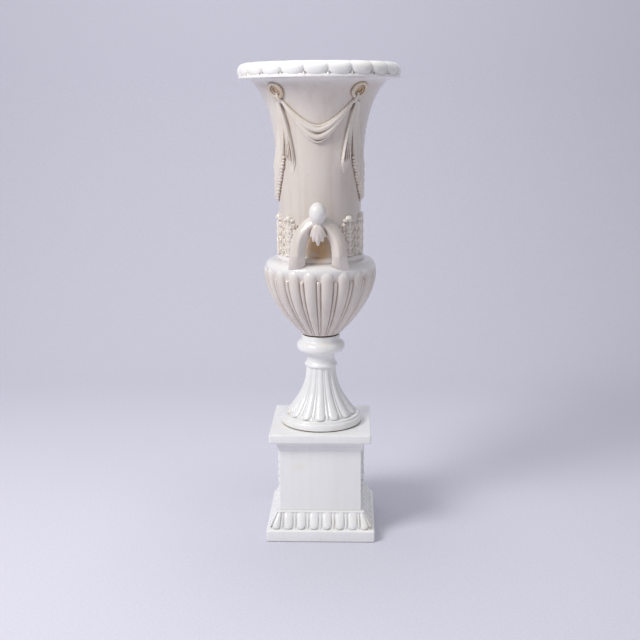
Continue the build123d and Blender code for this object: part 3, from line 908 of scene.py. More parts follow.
@dataclass
class Plinth:
    """The hollow square plinth and its egg moulding."""

    base_half: float = 98.5 * MM
    die_half: float = 74.5 * MM
    slab_half: float = 91.35 * MM
    z_egg: float = 21.5 * MM
    z_die: float = 52.0 * MM
    z_cornice: float = 168.8 * MM
    z_slab: float = 185.9 * MM
    z_top: float = 201.2 * MM
    wall: float = 8.0 * MM
    corner_r: float = 2.2 * MM
    base_soft: float = 2.6 * MM
    slab_soft: float = 2.0 * MM
    egg_foot: float = 90.5 * MM
    egg_list: float = 5.2 * MM
    list_h: float = 2.8 * MM
    egg_proud: float = 5.6 * MM
    egg_w: float = 0.7
    egg_cells: int = 8
    egg_samples: int = 20
    corner_start: float = 70.1 * MM
    egg_cap: float = 9.0 * MM
    foot_inside: float = 82.5 * MM
    seat_half: float = 89.0 * MM
    seat_top: float = 75.6 * MM
    fillet_half: float = 77.0 * MM
    cove: tuple[float, float] = (10.85 * MM, 14.6 * MM)

    @staticmethod
    def plate(half: float, low: float, high: float, soft: float) -> list[tuple[float, float]]:
        """Half widths and heights round a plate's soft lower and upper edges.

        Args:
            half: the plate's half width.
            low: its underside.
            high: its top.
            soft: the radius of its edges.

        Returns:
            The half width and height of each point.
        """
        middle = half - soft
        lower = arc((middle, low + soft), (soft, soft), -90, 0, 6)
        return lower + arc((middle, high - soft), (soft, soft), 0, 90, 6)

    def stations(self) -> list[tuple[float, float]]:
        """Half width and height of each square ring, from the ceiling inside to the top outside.

        Returns:
            The half width and height of each ring.
        """
        inside = self.die_half - self.wall
        cove = arc((self.fillet_half + self.cove[0], self.z_slab - self.cove[1]), self.cove, 180, 90, 9)
        return [
            (inside, self.z_top - self.wall), (inside, self.z_die), (self.foot_inside, 0.0),
            *self.plate(self.base_half, 0.0, self.z_egg, self.base_soft), (self.seat_half, self.z_egg),
            (self.seat_top, self.z_die - MM), (self.die_half, self.z_die - MM),
            (self.die_half, self.z_cornice), (self.fillet_half, self.z_cornice), *cove,
            *self.plate(self.slab_half, self.z_slab, self.z_top, self.slab_soft),
        ]

    def body(self) -> bpy.types.Object:
        """The plinth itself: a plane with soft corners, extruded ring by ring to a hollow shell.

        Returns:
            The closed shell.
        """
        rings = self.stations()
        obj = primitive("plinth_body", bpy.ops.mesh.primitive_plane_add, size=2 * rings[0][0],
                        location=(0, 0, rings[0][1]))
        settle(obj)
        with editing(obj):
            bpy.ops.mesh.bevel(offset=self.corner_r, segments=4, affect="VERTICES")
            bpy.ops.mesh.select_all(action="SELECT")
            for (half, height), (next_half, next_height) in zip(rings, rings[1:]):
                rise = (0, 0, next_height - height)
                bpy.ops.mesh.extrude_region_move(TRANSFORM_OT_translate={"value": rise})
                share = next_half / half
                bpy.ops.transform.resize(value=(share, share, 1))
            bpy.ops.mesh.select_all(action="SELECT")
            bpy.ops.mesh.normals_make_consistent(inside=False)
        return obj

    def moulding(self) -> bpy.types.Object:
        """The egg moulding: round-ended lobes with darts between, and a leaf each side of a mitre.

        Returns:
            The closed moulding.
        """
        cell = np.arange(self.egg_cells * self.egg_samples) / self.egg_samples
        list_half = self.die_half + self.egg_list
        z_list = self.z_die - self.list_h
        bottom = self.z_egg - 0.5 * MM
        z_cap = self.z_egg + self.egg_cap
        heights = np.concatenate([np.linspace(bottom, z_cap, 16), np.linspace(z_cap + MM, z_list, 12)])
        rows = []
        for height in heights:
            share = span(height, self.z_egg, z_list)
            foot = self.egg_foot + (list_half - 2 * MM - self.egg_foot) * share
            proud = self.egg_proud * (1 - 0.6 * share ** 3)
            rows.append(self.moulding_row(cell, foot, proud, (z_cap - height) / self.egg_cap, height))
        back = self.die_half - MM
        for half, height in ((list_half, z_list + 0.3 * MM), (list_half, self.z_die - 0.5 * MM),
                             (list_half - 0.6 * MM, self.z_die), (back, self.z_die), (back, bottom)):
            rows.append(self.moulding_row(cell, half, 0.0, 1.0, height))
        rows.append(rows[0])
        grid = np.stack(rows)
        grid = np.concatenate([grid, grid[:, :1]], 1)
        obj = sheet("egg_moulding", grid)
        weld(obj)
        return obj

    def moulding_row(self, cell: np.ndarray, foot: float, proud: float, cap: float,
                     height: float) -> np.ndarray:
        """One level row of the moulding, round all four sides.

        Args:
            cell: where each sample of one side lies, counted in lobes.
            foot: the half width of the slope under the lobes at this height.
            proud: how far the lobes stand out of it.
            cap: how far the row reaches into the lobes' rounded ends.
            height: the row's height.

        Returns:
            The row's points.
        """
        across = np.abs(2 * (cell - np.floor(cell)) - 1)
        from_mitre = np.minimum(cell, self.egg_cells - cell)
        lobe = round_lobe(across, self.egg_w, np.full_like(across, cap))
        dart = 0.62 * ridge(across, 0.84, np.full_like(across, cap * 1.3))
        reach = foot + proud * np.maximum(lobe, dart)
        inner = np.abs(cell - self.egg_cells / 2) * 2 * self.corner_start / (self.egg_cells - 2)
        outer = self.corner_start + (reach[0] - self.corner_start) * (1 - from_mitre)
        along = np.where(from_mitre < 1, outer, inner)
        along = np.minimum(along, reach) * np.sign(cell - self.egg_cells / 2 + 1e-9)
        front = np.stack([along, -reach], 1)
        sides = []
        for quarter in range(4):
            turn = quarter * math.pi / 2
            spin = np.array([[math.cos(turn), math.sin(turn)], [-math.sin(turn), math.cos(turn)]])
            sides.append(front @ spin)
        row = np.concatenate(sides)
        return np.column_stack([row, np.full(len(row), height)])

    def build(self, finish: bpy.types.Material) -> None:
        """Build and dress the plinth's pieces.

        Args:
            finish: the glaze that they wear.
        """
        dressed(self.body(), Body.PLINTH, finish, ["plinth"], 40)
        dressed(self.moulding(), Body.PLINTH, finish, angle=60)


@dataclass
class Wreath:
    """The oval laurel wreath on each side face of the die."""

    centre_x: float = 74.5 * MM
    centre_z: float = 110.4 * MM
    width: float = 80.0 * MM
    height: float = 88.0 * MM
    leaf_l: float = 17.0 * MM
    leaf_w: float = 8.0 * MM
    leaf_t: float = 4.2 * MM
    pairs: int = 18
    stem_inset: float = 3.0 * MM
    splay: float = math.radians(30)
    berry_r: float = 1.9 * MM
    berry_lift: float = 2.4 * MM

    def leaf(self) -> bpy.types.Object:
        """One leaf along +X, pointed, with a sunk midrib.

        Returns:
            The leaf, centred on the origin.
        """
        obj = primitive("laurel_leaf", bpy.ops.mesh.primitive_uv_sphere_add, segments=14, ring_count=10,
                        radius=1)
        points = read_points(obj)[:, [2, 0, 1]]
        taper = np.sqrt(np.clip(1 - points[:, 0] ** 2, 0, 1)) ** 0.5
        points[:, 1] *= taper
        groove = 0.35 * np.exp(-(points[:, 1] / 0.16) ** 2)
        points[:, 2] *= 1 - groove * (points[:, 2] > 0)
        write_points(obj, points * [self.leaf_l / 2, self.leaf_w / 2, self.leaf_t])
        weld(obj)
        return obj

    def build(self, finish: bpy.types.Material) -> None:
        """Build and dress both wreaths.

        Args:
            finish: the glaze that they wear.
        """
        stem = primitive("wreath_stem", bpy.ops.mesh.primitive_torus_add, major_radius=1,
                         minor_radius=0.065, major_segments=96, minor_segments=12)
        oval = np.array([self.width / 2 - self.stem_inset, self.height / 2 - self.stem_inset,
                         self.height / 2])
        write_points(stem, read_points(stem) * oval)
        parts = [stem]
        pattern = self.leaf()
        for number in range(self.pairs):
            for side in Side:
                turn = FULL_TURN * (number + 0.5) / self.pairs
                spot = Vector((oval[0] * math.cos(turn), oval[1] * math.sin(turn), 0.8 * MM))
                rising = 1 if math.cos(turn) > 0 else -1
                heading = math.atan2(oval[1] * math.cos(turn) * rising, -oval[0] * math.sin(turn) * rising)
                heading += side.value * self.splay
                spot += Vector((math.cos(heading), math.sin(heading), 0.12)) * self.leaf_l * 0.32
                place = Matrix.Translation(spot) @ Euler((0, -0.10, heading)).to_matrix().to_4x4()
                parts.append(copied(pattern, f"laurel_{number}_{side.name}", place))
        bpy.data.objects.remove(pattern)
        for number in range(self.pairs):
            turn = FULL_TURN * number / self.pairs
            spot = (oval[0] * math.cos(turn), oval[1] * math.sin(turn), self.berry_lift)
            berry = primitive(f"berry_{number}", bpy.ops.mesh.primitive_ico_sphere_add, subdivisions=2,
                              radius=self.berry_r, location=spot)
            settle(berry)
            parts.append(berry)
        right = joined("laurel_right", parts)
        stand = Matrix(((0, 0, 1, self.centre_x), (1, 0, 0, 0), (0, 1, 0, self.centre_z), (0, 0, 0, 1)))
        right.data.transform(stand)
        left = copied(right, "laurel_left", MIRROR_X)
        dressed(right, Body.PLINTH, finish, ["wreath_right"])
        dressed(left, Body.PLINTH, finish, ["wreath_left"])


@dataclass
class FootCasting:
    """The foot: disc, ledge, fluted flare, bead, waist, torus and collar, hollow below."""

    samples: int = 336
    flutes: int = 14
    z_flare: float = 218.2 * MM
    z_bead: float = 307.2 * MM
    flare_foot: float = 68.0 * MM
    flare_top: float = 27.5 * MM
    curve: float = 2.1
    cut_foot: float = 7.0 * MM
    cut_top: float = 1.5 * MM
    lobe_w: float = 0.74
    cap_h: float = 9.0 * MM

    def flare(self, height: np.ndarray | float) -> np.ndarray:
        """The radius over the flutes at a height."""
        share = span(np.asarray(height), self.z_flare, self.z_bead)
        return self.flare_top + (self.flare_foot - self.flare_top) * (1 - share) ** self.curve

    def profile(self) -> tuple[list[tuple[float, float]], int, int]:
        """The closed profile, and the first and last number of its fluted run.

        Returns:
            The profile in metres, and the two numbers.
        """
        disc = [(62.5, 202.7), (73.7, 202.7), (74.4, 203.3), (74.5, 204.4), (74.5, 210.6), (74.3, 212.2),
                (73.6, 213.5), (72.4, 214.3), (71.2, 214.6), (70.5, 214.9), (70.2, 215.6), (70.1, 216.6),
                (69.7, 217.5), (69.0, 218.0), (68.3, 218.15)]
        outline = in_mm(disc)
        first = len(outline)
        heights = np.concatenate([np.linspace(self.z_flare, self.z_flare + 14 * MM, 15),
                                  np.linspace(self.z_flare + 16 * MM, self.z_bead, 38)])
        outline += [(float(self.flare(z)), float(z)) for z in heights]
        last = len(outline) - 1
        stem = [(28.3, 307.5), (29.3, 308.2), (30.0, 309.4), (30.2, 310.7), (30.0, 312.1), (29.3, 313.3),
                (28.2, 314.1), (27.2, 315.6), (26.2, 318.4), (25.7, 321.5), (25.7, 324.8), (26.4, 328.2),
                (27.9, 331.4), (30.2, 333.8), (33.0, 335.2), (36.0, 335.9)]
        outline += in_mm(stem)
        outline += arc((35.5 * MM, 345.7 * MM), (8.9 * MM, 9.8 * MM), -68, 68, 13)
        collar = [(36.6, 355.9), (35.4, 356.8), (34.9, 358.4), (34.9, 365.9), (34.5, 366.9), (33.6, 367.2),
                  (20.0, 367.2), (5.0, 367.2), (5.0, 353.2), (19.0, 353.2), (19.0, 330.0), (19.0, 300.0),
                  (20.2, 280.0), (24.9, 255.7), (29.6, 245.6), (34.6, 237.9), (40.6, 229.2), (46.5, 221.9),
                  (54.0, 214.6), (60.0, 208.0)]
        outline += in_mm(collar)
        return outline, first, last

    def build(self, finish: bpy.types.Material) -> None:
        """Build and dress the foot.

        Args:
            finish: the glaze that they wear.
        """
        profile, first, last = self.profile()
        obj = spun("foot_casting", profile, self.samples)

        def depth(number: np.ndarray, azimuth: np.ndarray, height: np.ndarray) -> np.ndarray:
            """How deep the flutes are cut.

            Args:
                number: the profile number of each vertex.
                azimuth: its azimuth, in radians.
                height: its height.

            Returns:
                The depth at each vertex.
            """
            fluted = (number >= first) & (number <= last)
            share = span(height, self.z_flare, self.z_bead)
            floor = self.cut_foot + (self.cut_top - self.cut_foot) * np.sqrt(share)
            across = lobe_cell(azimuth, self.flutes, False)
            cap = (self.z_flare + self.cap_h - height) / self.cap_h
            lobe = round_lobe(across, self.lobe_w, cap)
            dart = 0.5 * ridge(across, self.lobe_w, cap * 1.3)
            return np.where(fluted, floor * (1 - np.maximum(lobe, dart)), 0.0)

        carved(obj, profile, depth, True)
        dressed(obj, Body.URN, finish, ["stem_foot"], 50)


@dataclass
class Casting:
    """The urn's body: godrooned bowl, shoulder, ring, neck, flared mouth and lobed rim."""

    neck: Neck
    samples: int = 440
    godroons: int = 20
    rim_lobes: int = 22
    z_bowl: float = 369.7 * MM
    z_wide: float = 485.7 * MM
    z_shoulder: float = 507.7 * MM
    bowl_foot: float = 36.0 * MM
    bowl_r: float = 101.5 * MM
    bowl_curve: float = 1.83
    ring_r: float = 79.5 * MM
    godroon_cut: float = 7.0 * MM
    godroon_w: float = 0.73
    rim_r: float = 141.8 * MM
    rim_cut: float = 5.2 * MM
    z_face: float = 832.7 * MM
    rim_round: float = 14.5 * MM
    mouth_wall: float = 7.5 * MM
    z_dart: float = 474.0 * MM
    dart_h: float = 5.0 * MM
    z_fade: float = 480.0 * MM
    z_cap: float = 484.0 * MM
    cap_h: float = 18.0 * MM
    z_shelf: float = 501.0 * MM
    shelf_cut: float = 1.3 * MM
    z_level: float = 503.0 * MM
    z_plain: float = 507.5 * MM
    pillow_h: float = 9.4 * MM
    z_notch: float = 830.5 * MM
    notch_h: float = 7.5 * MM

    def bowl(self, share: np.ndarray | float) -> np.ndarray | float:
        """The bowl's radius over its lobes, at a share of its height."""
        return self.bowl_foot + (self.bowl_r - self.bowl_foot) * (1 - (1 - share) ** self.bowl_curve)

    def outside(self) -> tuple[list[tuple[float, float]], dict[str, int]]:
        """The outer run of the profile and where its carved runs start and end.

        Returns:
            The radius and height of each point, and the marks by name.
        """
        run = [(5.0 * MM, self.z_bowl), (20.0 * MM, self.z_bowl), (34.6 * MM, self.z_bowl),
               (35.6 * MM, self.z_bowl + 0.3 * MM)]
        marks = {"bowl": len(run)}
        rise = self.z_wide - self.z_bowl
        for share in np.concatenate([np.linspace(0.012, 0.86, 42), np.linspace(0.875, 1.0, 11)]):
            run.append((float(self.bowl(share)), float(self.z_bowl + rise * share)))
        lifts = np.sin(np.linspace(0, math.pi / 2, 400))
        curve = [(self.ring_r + (self.bowl_r - self.ring_r) * (1 - u ** 3) ** (1 / 3),
                  self.z_wide + (self.z_shoulder - self.z_wide) * u) for u in lifts]
        run += even(curve, 1.25 * MM)[1:-1]
        marks["shoulder"] = len(run) - 1
        ring = [(79.4, 507.7), (78.7, 508.3), (78.9, 510.2), (78.9, 512.6), (78.3, 514.8), (77.0, 516.6),
                (75.2, 517.7), (73.6, 518.3), (72.8, 519.4), (72.6, 521.0)]
        run += in_mm(ring)
        for height in np.concatenate([np.linspace(0.535, 0.5917, 4), np.linspace(0.61, 0.6817, 5)]):
            run.append((float(self.neck.radius(height)), float(height)))
        run += self.neck.mouth(0.0, 4, 82, 22)
        run += [(133.0 * MM, 821.0 * MM), (139.4 * MM, 821.0 * MM), (140.5 * MM, 821.4 * MM),
                (140.7 * MM, 822.2 * MM), (140.5 * MM, 823.0 * MM)]
        marks["face"] = len(run)
        run += [(self.rim_r, float(z)) for z in np.linspace(823.4 * MM, self.z_face, 14)]
        top_r = self.rim_r - self.rim_round
        run += arc((top_r, self.z_face), (self.rim_round, self.rim_round), 6, 90, 15)
        marks["crest"] = len(run) - 1
        return run, marks

    def inside(self) -> list[tuple[float, float]]:
        """The inner run of the profile, from the crest down to the bolt's hole.

        Returns:
            The radius and height of each point, in metres.
        """
        lip = [(123.5, 847.1), (119.0, 846.9), (115.0, 846.3), (112.6, 845.3), (111.4, 843.8),
               (111.0, 841.5), (111.0, 834.0), (111.0, 826.0)]
        run = in_mm(lip)
        run += self.neck.mouth(self.mouth_wall, 68.5, 0, 15)
        lower = [(66.9, 620.0), (65.1, 591.7), (65.1, 550.0), (65.1, 512.0), (67.5, 505.8), (73.2, 499.4),
                 (80.5, 493.6), (85.6, 486.6), (87.0, 477.9), (85.9, 467.0), (83.0, 456.0), (79.0, 446.4),
                 (72.8, 437.3), (66.6, 427.4), (60.4, 417.2), (53.9, 408.3), (46.5, 399.6), (38.0, 391.6),
                 (28.0, 385.7), (16.0, 385.7), (5.0, 385.7)]
        run += in_mm(lower)
        return run

    def build(self, finish: bpy.types.Material) -> None:
        """Build and dress the body.

        Args:
            finish: the glaze that they wear.
        """
        outer, marks = self.outside()
        profile = outer + self.inside()
        obj = spun("body_casting", profile, self.samples)

        def depth(number: np.ndarray, azimuth: np.ndarray, height: np.ndarray) -> np.ndarray:
            """How deep the godroons and the rim's lobes are cut.

            Args:
                number: the profile number of each vertex.
                azimuth: its azimuth, in radians.
                height: its height.

            Returns:
                The depth at each vertex.
            """
            bowl = (number >= marks["bowl"]) & (number <= marks["shoulder"])
            rim = (number >= marks["face"]) & (number <= marks["crest"])
            return np.where(bowl, self.bowl_depth(azimuth, height), 0.0) + np.where(
                rim, self.rim_depth(azimuth, height), 0.0)

        carved(obj, profile, depth, False)
        dressed(obj, Body.URN, finish, ["vase_body"], 55)

    def bowl_depth(self, azimuth: np.ndarray, height: np.ndarray) -> np.ndarray:
        """The godroons: round lobes with rounded tops, and a dart between each two.

        Args:
            azimuth: the azimuth of each vertex, in radians.
            height: its height.

        Returns:
            How deep the bowl is cut there.
        """
        cut = self.godroon_cut * self.bowl(span(height, self.z_bowl, self.z_wide)) / self.bowl_r
        across = lobe_cell(azimuth, self.godroons, True)
        fade = span(height, self.z_fade, self.z_shelf)
        fade = fade * fade * (3 - 2 * fade)
        floor = cut * (1 - fade) + self.shelf_cut * fade
        floor *= 1 - span(height, self.z_level, self.z_plain)
        lobe = cut * (1 - round_lobe(across, self.godroon_w, (height - self.z_cap) / self.cap_h))
        dart = 0.5 * cut * ridge(across, self.godroon_w, (height - self.z_dart) / self.dart_h)
        return np.minimum(lobe, floor - np.minimum(dart, floor))

    def rim_depth(self, azimuth: np.ndarray, height: np.ndarray) -> np.ndarray:
        """The rim's pillow lobes, round-ended below, with a small dart in each notch.

        Args:
            azimuth: the azimuth of each vertex, in radians.
            height: its height.

        Returns:
            How deep the rim is cut there.
        """
        cut = self.rim_cut * (1 - 0.9 * span(height, self.z_face, self.z_face + self.rim_round))
        across = lobe_cell(azimuth, self.rim_lobes, False)
        cap = np.clip((self.z_face - height) / self.pillow_h, 0, 1)
        away = np.clip(np.hypot(across, cap), 0, 1)
        pillow = (1 - away ** 2.6) ** 0.75
        low = np.clip((self.z_notch - height) / self.notch_h, 0.001, 1)
        dart = 0.6 * np.clip(1.5 - 1.5 * (1 - across) / (0.3 * low), 0, 1)
        dart *= height < self.z_notch - 0.5 * MM
        return cut * (1 - np.maximum(pillow, dart))


@dataclass
class Handle:
    """A keeled loop on the shoulder, tied to the neck, with a knob and a leaf tuft."""

    arm: tuple[tuple[float, float], ...] = (
        (0.0, 581.5), (7.0, 580.8), (13.5, 577.5), (21.7, 569.7), (28.6, 561.0), (33.2, 550.0),
        (35.3, 535.7), (36.6, 515.0), (36.8, 497.0))
    leg_y: float = -94.0 * MM
    toe_in: float = 13.0 * MM
    z_ankle: float = 526.0 * MM
    z_toe: float = 497.0 * MM
    z_crown: float = 576.7 * MM
    half_w: float = 13.4 * MM
    half_d: float = 12.6 * MM
    toe_w: float = 16.6 * MM
    knob_y: float = -104.0 * MM
    knob_r: float = 14.9 * MM
    knob_h: float = 41.0 * MM
    tie_r: float = 10.0 * MM
    tie_l: float = 34.0 * MM
    tie_y: float = -81.0 * MM
    keel: float = 1.42
    voxel: float = 0.85 * MM

    def path(self) -> np.ndarray:
        """The arch's middle line from the left foot to the right one, as x and z.

        Returns:
            The points, two coordinates each.
        """
        half = np.array(even(in_mm(self.arm), 2 * MM))
        run = np.concatenate([half[::-1] * [-1, 1], half[1:]])
        for _ in range(14):
            run[1:-1] = (run[:-2] + 2 * run[1:-1] + run[2:]) / 4
        return run

    def loop(self) -> bpy.types.Object:
        """The swept loop, keeled outwards, whose feet draw in onto the shoulder.

        Returns:
            The closed loop.
        """
        run = self.path()
        along = np.gradient(run, axis=0)
        along /= np.hypot(*along.T)[:, None]
        side = np.stack([along[:, 1], np.zeros(len(run)), -along[:, 0]], 1)
        foot = span(run[:, 1], self.z_ankle, self.z_toe)
        middle = np.stack([run[:, 0], self.leg_y + self.toe_in * foot ** 1.3, run[:, 1]], 1)
        wide = self.half_w + (self.toe_w - self.half_w) * foot ** 1.5
        deep = self.half_d * (1 - 0.5 * foot)
        turn = np.linspace(0, FULL_TURN, 41)
        cross_w = np.sign(np.cos(turn)) * np.abs(np.cos(turn)) ** self.keel
        cross_d = np.sign(np.sin(turn)) * np.abs(np.sin(turn)) ** self.keel
        front = np.array([0.0, -1.0, 0.0])
        points = middle[:, None, :] + side[:, None, :] * (wide[:, None] * cross_w[None, :])[..., None]
        points = points + front * (deep[:, None] * cross_d[None, :])[..., None]
        obj = sheet("loop_arch", points)
        weld(obj)
        return obj

    def knob(self) -> bpy.types.Object:
        """The egg-shaped knob on the crown.

        Returns:
            The closed knob.
        """
        obj = primitive("loop_knob", bpy.ops.mesh.primitive_uv_sphere_add, segments=40, ring_count=28,
                        radius=1)
        points = read_points(obj)
        rise = points[:, 2]
        girth = 1 - 0.04 * rise - 0.36 * np.clip(-rise, 0, 1) ** 2
        points[:, 0] *= girth * self.knob_r
        points[:, 1] = points[:, 1] * girth * self.knob_r + self.knob_y
        shift = np.where(rise < 0, rise * 0.58, rise * 0.42)
        points[:, 2] = self.z_crown + self.knob_h * (0.58 + shift)
        write_points(obj, points)
        return obj

    def petal(self, number: int, fan: float, length: float, wide: float) -> bpy.types.Object:
        """One leaf of the tuft, hanging from under the knob.

        Args:
            number: its number.
            fan: how far it leans sideways, in degrees.
            length: its length.
            wide: half its greatest width.

        Returns:
            The closed leaf.
        """
        share = np.linspace(0, 1, 22)
        start = np.array([0.0, self.knob_y - 3.2 * MM, self.z_crown + 4 * MM])
        heading = np.array([math.sin(math.radians(fan)), 0.0, -math.cos(math.radians(fan))])
        path = start + heading * (share * length)[:, None]
        path[:, 1] += 5.0 * MM * share - 9.0 * MM * share * (1 - share)
        girth = np.sqrt(np.clip(np.sin(math.pi * share ** 0.8), 0, 1)) * wide + 0.35 * MM
        side = np.tile(np.cross(heading, [0.0, -1.0, 0.0]), (len(share), 1))
        up = np.tile([0.0, -1.0, 0.0], (len(share), 1))
        return tube(f"tuft_{number}", path, side, up, girth, girth * 0.95, 3.0 * MM, 16)

    def build(self, finish: bpy.types.Material) -> None:
        """Build and dress both handles.

        Args:
            finish: the glaze that they wear.
        """
        tie = primitive("loop_tie", bpy.ops.mesh.primitive_cylinder_add, vertices=32, radius=self.tie_r,
                        depth=self.tie_l, location=(0, self.tie_y, self.z_crown),
                        rotation=(math.pi / 2, 0, 0))
        settle(tie)
        parts = [self.loop(), self.knob(), tie]
        fans = ((-30, 26, 4.4), (30, 26, 4.4), (-15, 32, 5.0), (15, 32, 5.0), (0, 38, 5.0))
        parts += [self.petal(i, fan, length * MM, wide * MM) for i, (fan, length, wide) in enumerate(fans)]
        front = fused("loop_front", parts, self.voxel, 2)
        back = copied(front, "loop_back", turned(180))
        dressed(front, Body.URN, finish, ["handle_front"], 60)
        dressed(back, Body.URN, finish, ["handle_back"], 60)


@dataclass
class LeafBand:
    """The acanthus leaves on the foot of the neck, four a side."""

    neck: Neck
    leaf_h: float = 73.0 * MM
    cell: float = 30.0
    first: float = 45.0
    leaves: int = 4
    columns: int = 64
    rows: int = 122
    wall: float = 1.6 * MM

    def strands(self) -> list[tuple[list[tuple[float, float]], float, float]]:
        """The right half of one leaf: runs of points in mm, half widths and heights.

        Returns:
            The points, half width and height of each strand.
        """
        made = [([(1.2, 0), (1.2, 32), (0.8, 62)], 1.9, 5.0)]
        for number in range(4):
            base = 0.5 + 14.2 * number
            reach = 1.0 - 0.05 * number
            outer = [(3.0, base), (6.6 * reach, base + 6.0), (10.4 * reach, base + 12.6),
                     (13.6 * reach, base + 14.2), (15.6 * reach, base + 11.6), (14.6 * reach, base + 8.6),
                     (12.8 * reach, base + 8.4)]
            made.append((outer, 2.1, 5.4))
            inner = [(3.0, base + 6.6), (5.4 * reach, base + 11.6), (7.6 * reach, base + 16.4)]
            made.append((inner, 1.4, 3.8))
        made.append(([(19.0, 0), (19.0, 34), (19.0, 52)], 1.9, 3.6))
        return made

    def relief(self, across: np.ndarray, up: np.ndarray) -> np.ndarray:
        """How far the leaf stands out of the neck, in metres.

        Args:
            across: distance from the leaf's middle, in mm.
            up: height over the leaf's foot, in mm.

        Returns:
            The relief, negative where the neck is bare.
        """
        aside = np.abs(across)
        bare = -0.8
        blade = 13.0 - 6.0 * span(up, 54.0, 68.0) ** 2
        inside = (aside < blade) & (up < 66)
        height = np.where(inside, 0.9, bare)
        for points, width, proud in self.strands():
            run = np.array(points)
            for start, end in zip(run, run[1:]):
                along = end - start
                share = np.clip(((aside - start[0]) * along[0] + (up - start[1]) * along[1])
                                / (along @ along), 0, 1)
                gap = np.hypot(aside - start[0] - share * along[0], up - start[1] - share * along[1])
                bulge = proud * np.sqrt(np.clip(1 - (gap / width) ** 2, 0, 1))
                height = np.maximum(height, np.where(gap < width, bulge, bare))
        curls = (((0.0, 66.4), (6.6, 6.0), 7.6), ((8.6, 63.0), (4.0, 3.6), 6.0),
                 ((19.0, 53.0), (3.2, 3.6), 4.8))
        for spot, reach, proud in curls:
            inner = ((aside - spot[0]) / reach[0]) ** 2 + ((up - spot[1]) / reach[1]) ** 2
            curl = proud * np.sqrt(np.clip(1 - inner, 0, 1))
            height = np.maximum(height, np.where(inner < 1, curl, bare))
        for _ in range(2):
            padded = np.pad(height, 1, mode="edge")
            height = (padded[1:-1, 1:-1] * 4 + padded[:-2, 1:-1] + padded[2:, 1:-1]
                      + padded[1:-1, :-2] + padded[1:-1, 2:]) / 8
        return height * MM

    def build(self, finish: bpy.types.Material) -> None:
        """Build and dress both halves of the band.

        Args:
            finish: the glaze that they wear.
        """
        azimuth = np.linspace(-self.cell / 2, self.cell / 2, self.columns + 1)
        height = np.linspace(0, 1, self.rows + 1) * self.leaf_h + 0.5 * MM
        turn, rise = np.meshgrid(azimuth, height)
        across = np.radians(turn) * self.neck.foot_r / MM
        lift = self.relief(across, rise / MM)
        pattern = sheet("leaf", self.neck.point(turn, rise + self.neck.z_neck, lift))
        applied(pattern, "SOLIDIFY", thickness=self.wall, offset=-1)
        leaves = [copied(pattern, f"leaf_{i}", turned(self.first + self.cell * i))
                  for i in range(self.leaves)]
        bpy.data.objects.remove(pattern)
        right = joined("leaf_band_right", leaves)
        weld(right)
        left = copied(right, "leaf_band_left", MIRROR_X)
        dressed(right, Body.URN, finish, ["acanthus_right"], 50)
        dressed(left, Body.URN, finish, ["acanthus_left"], 50)


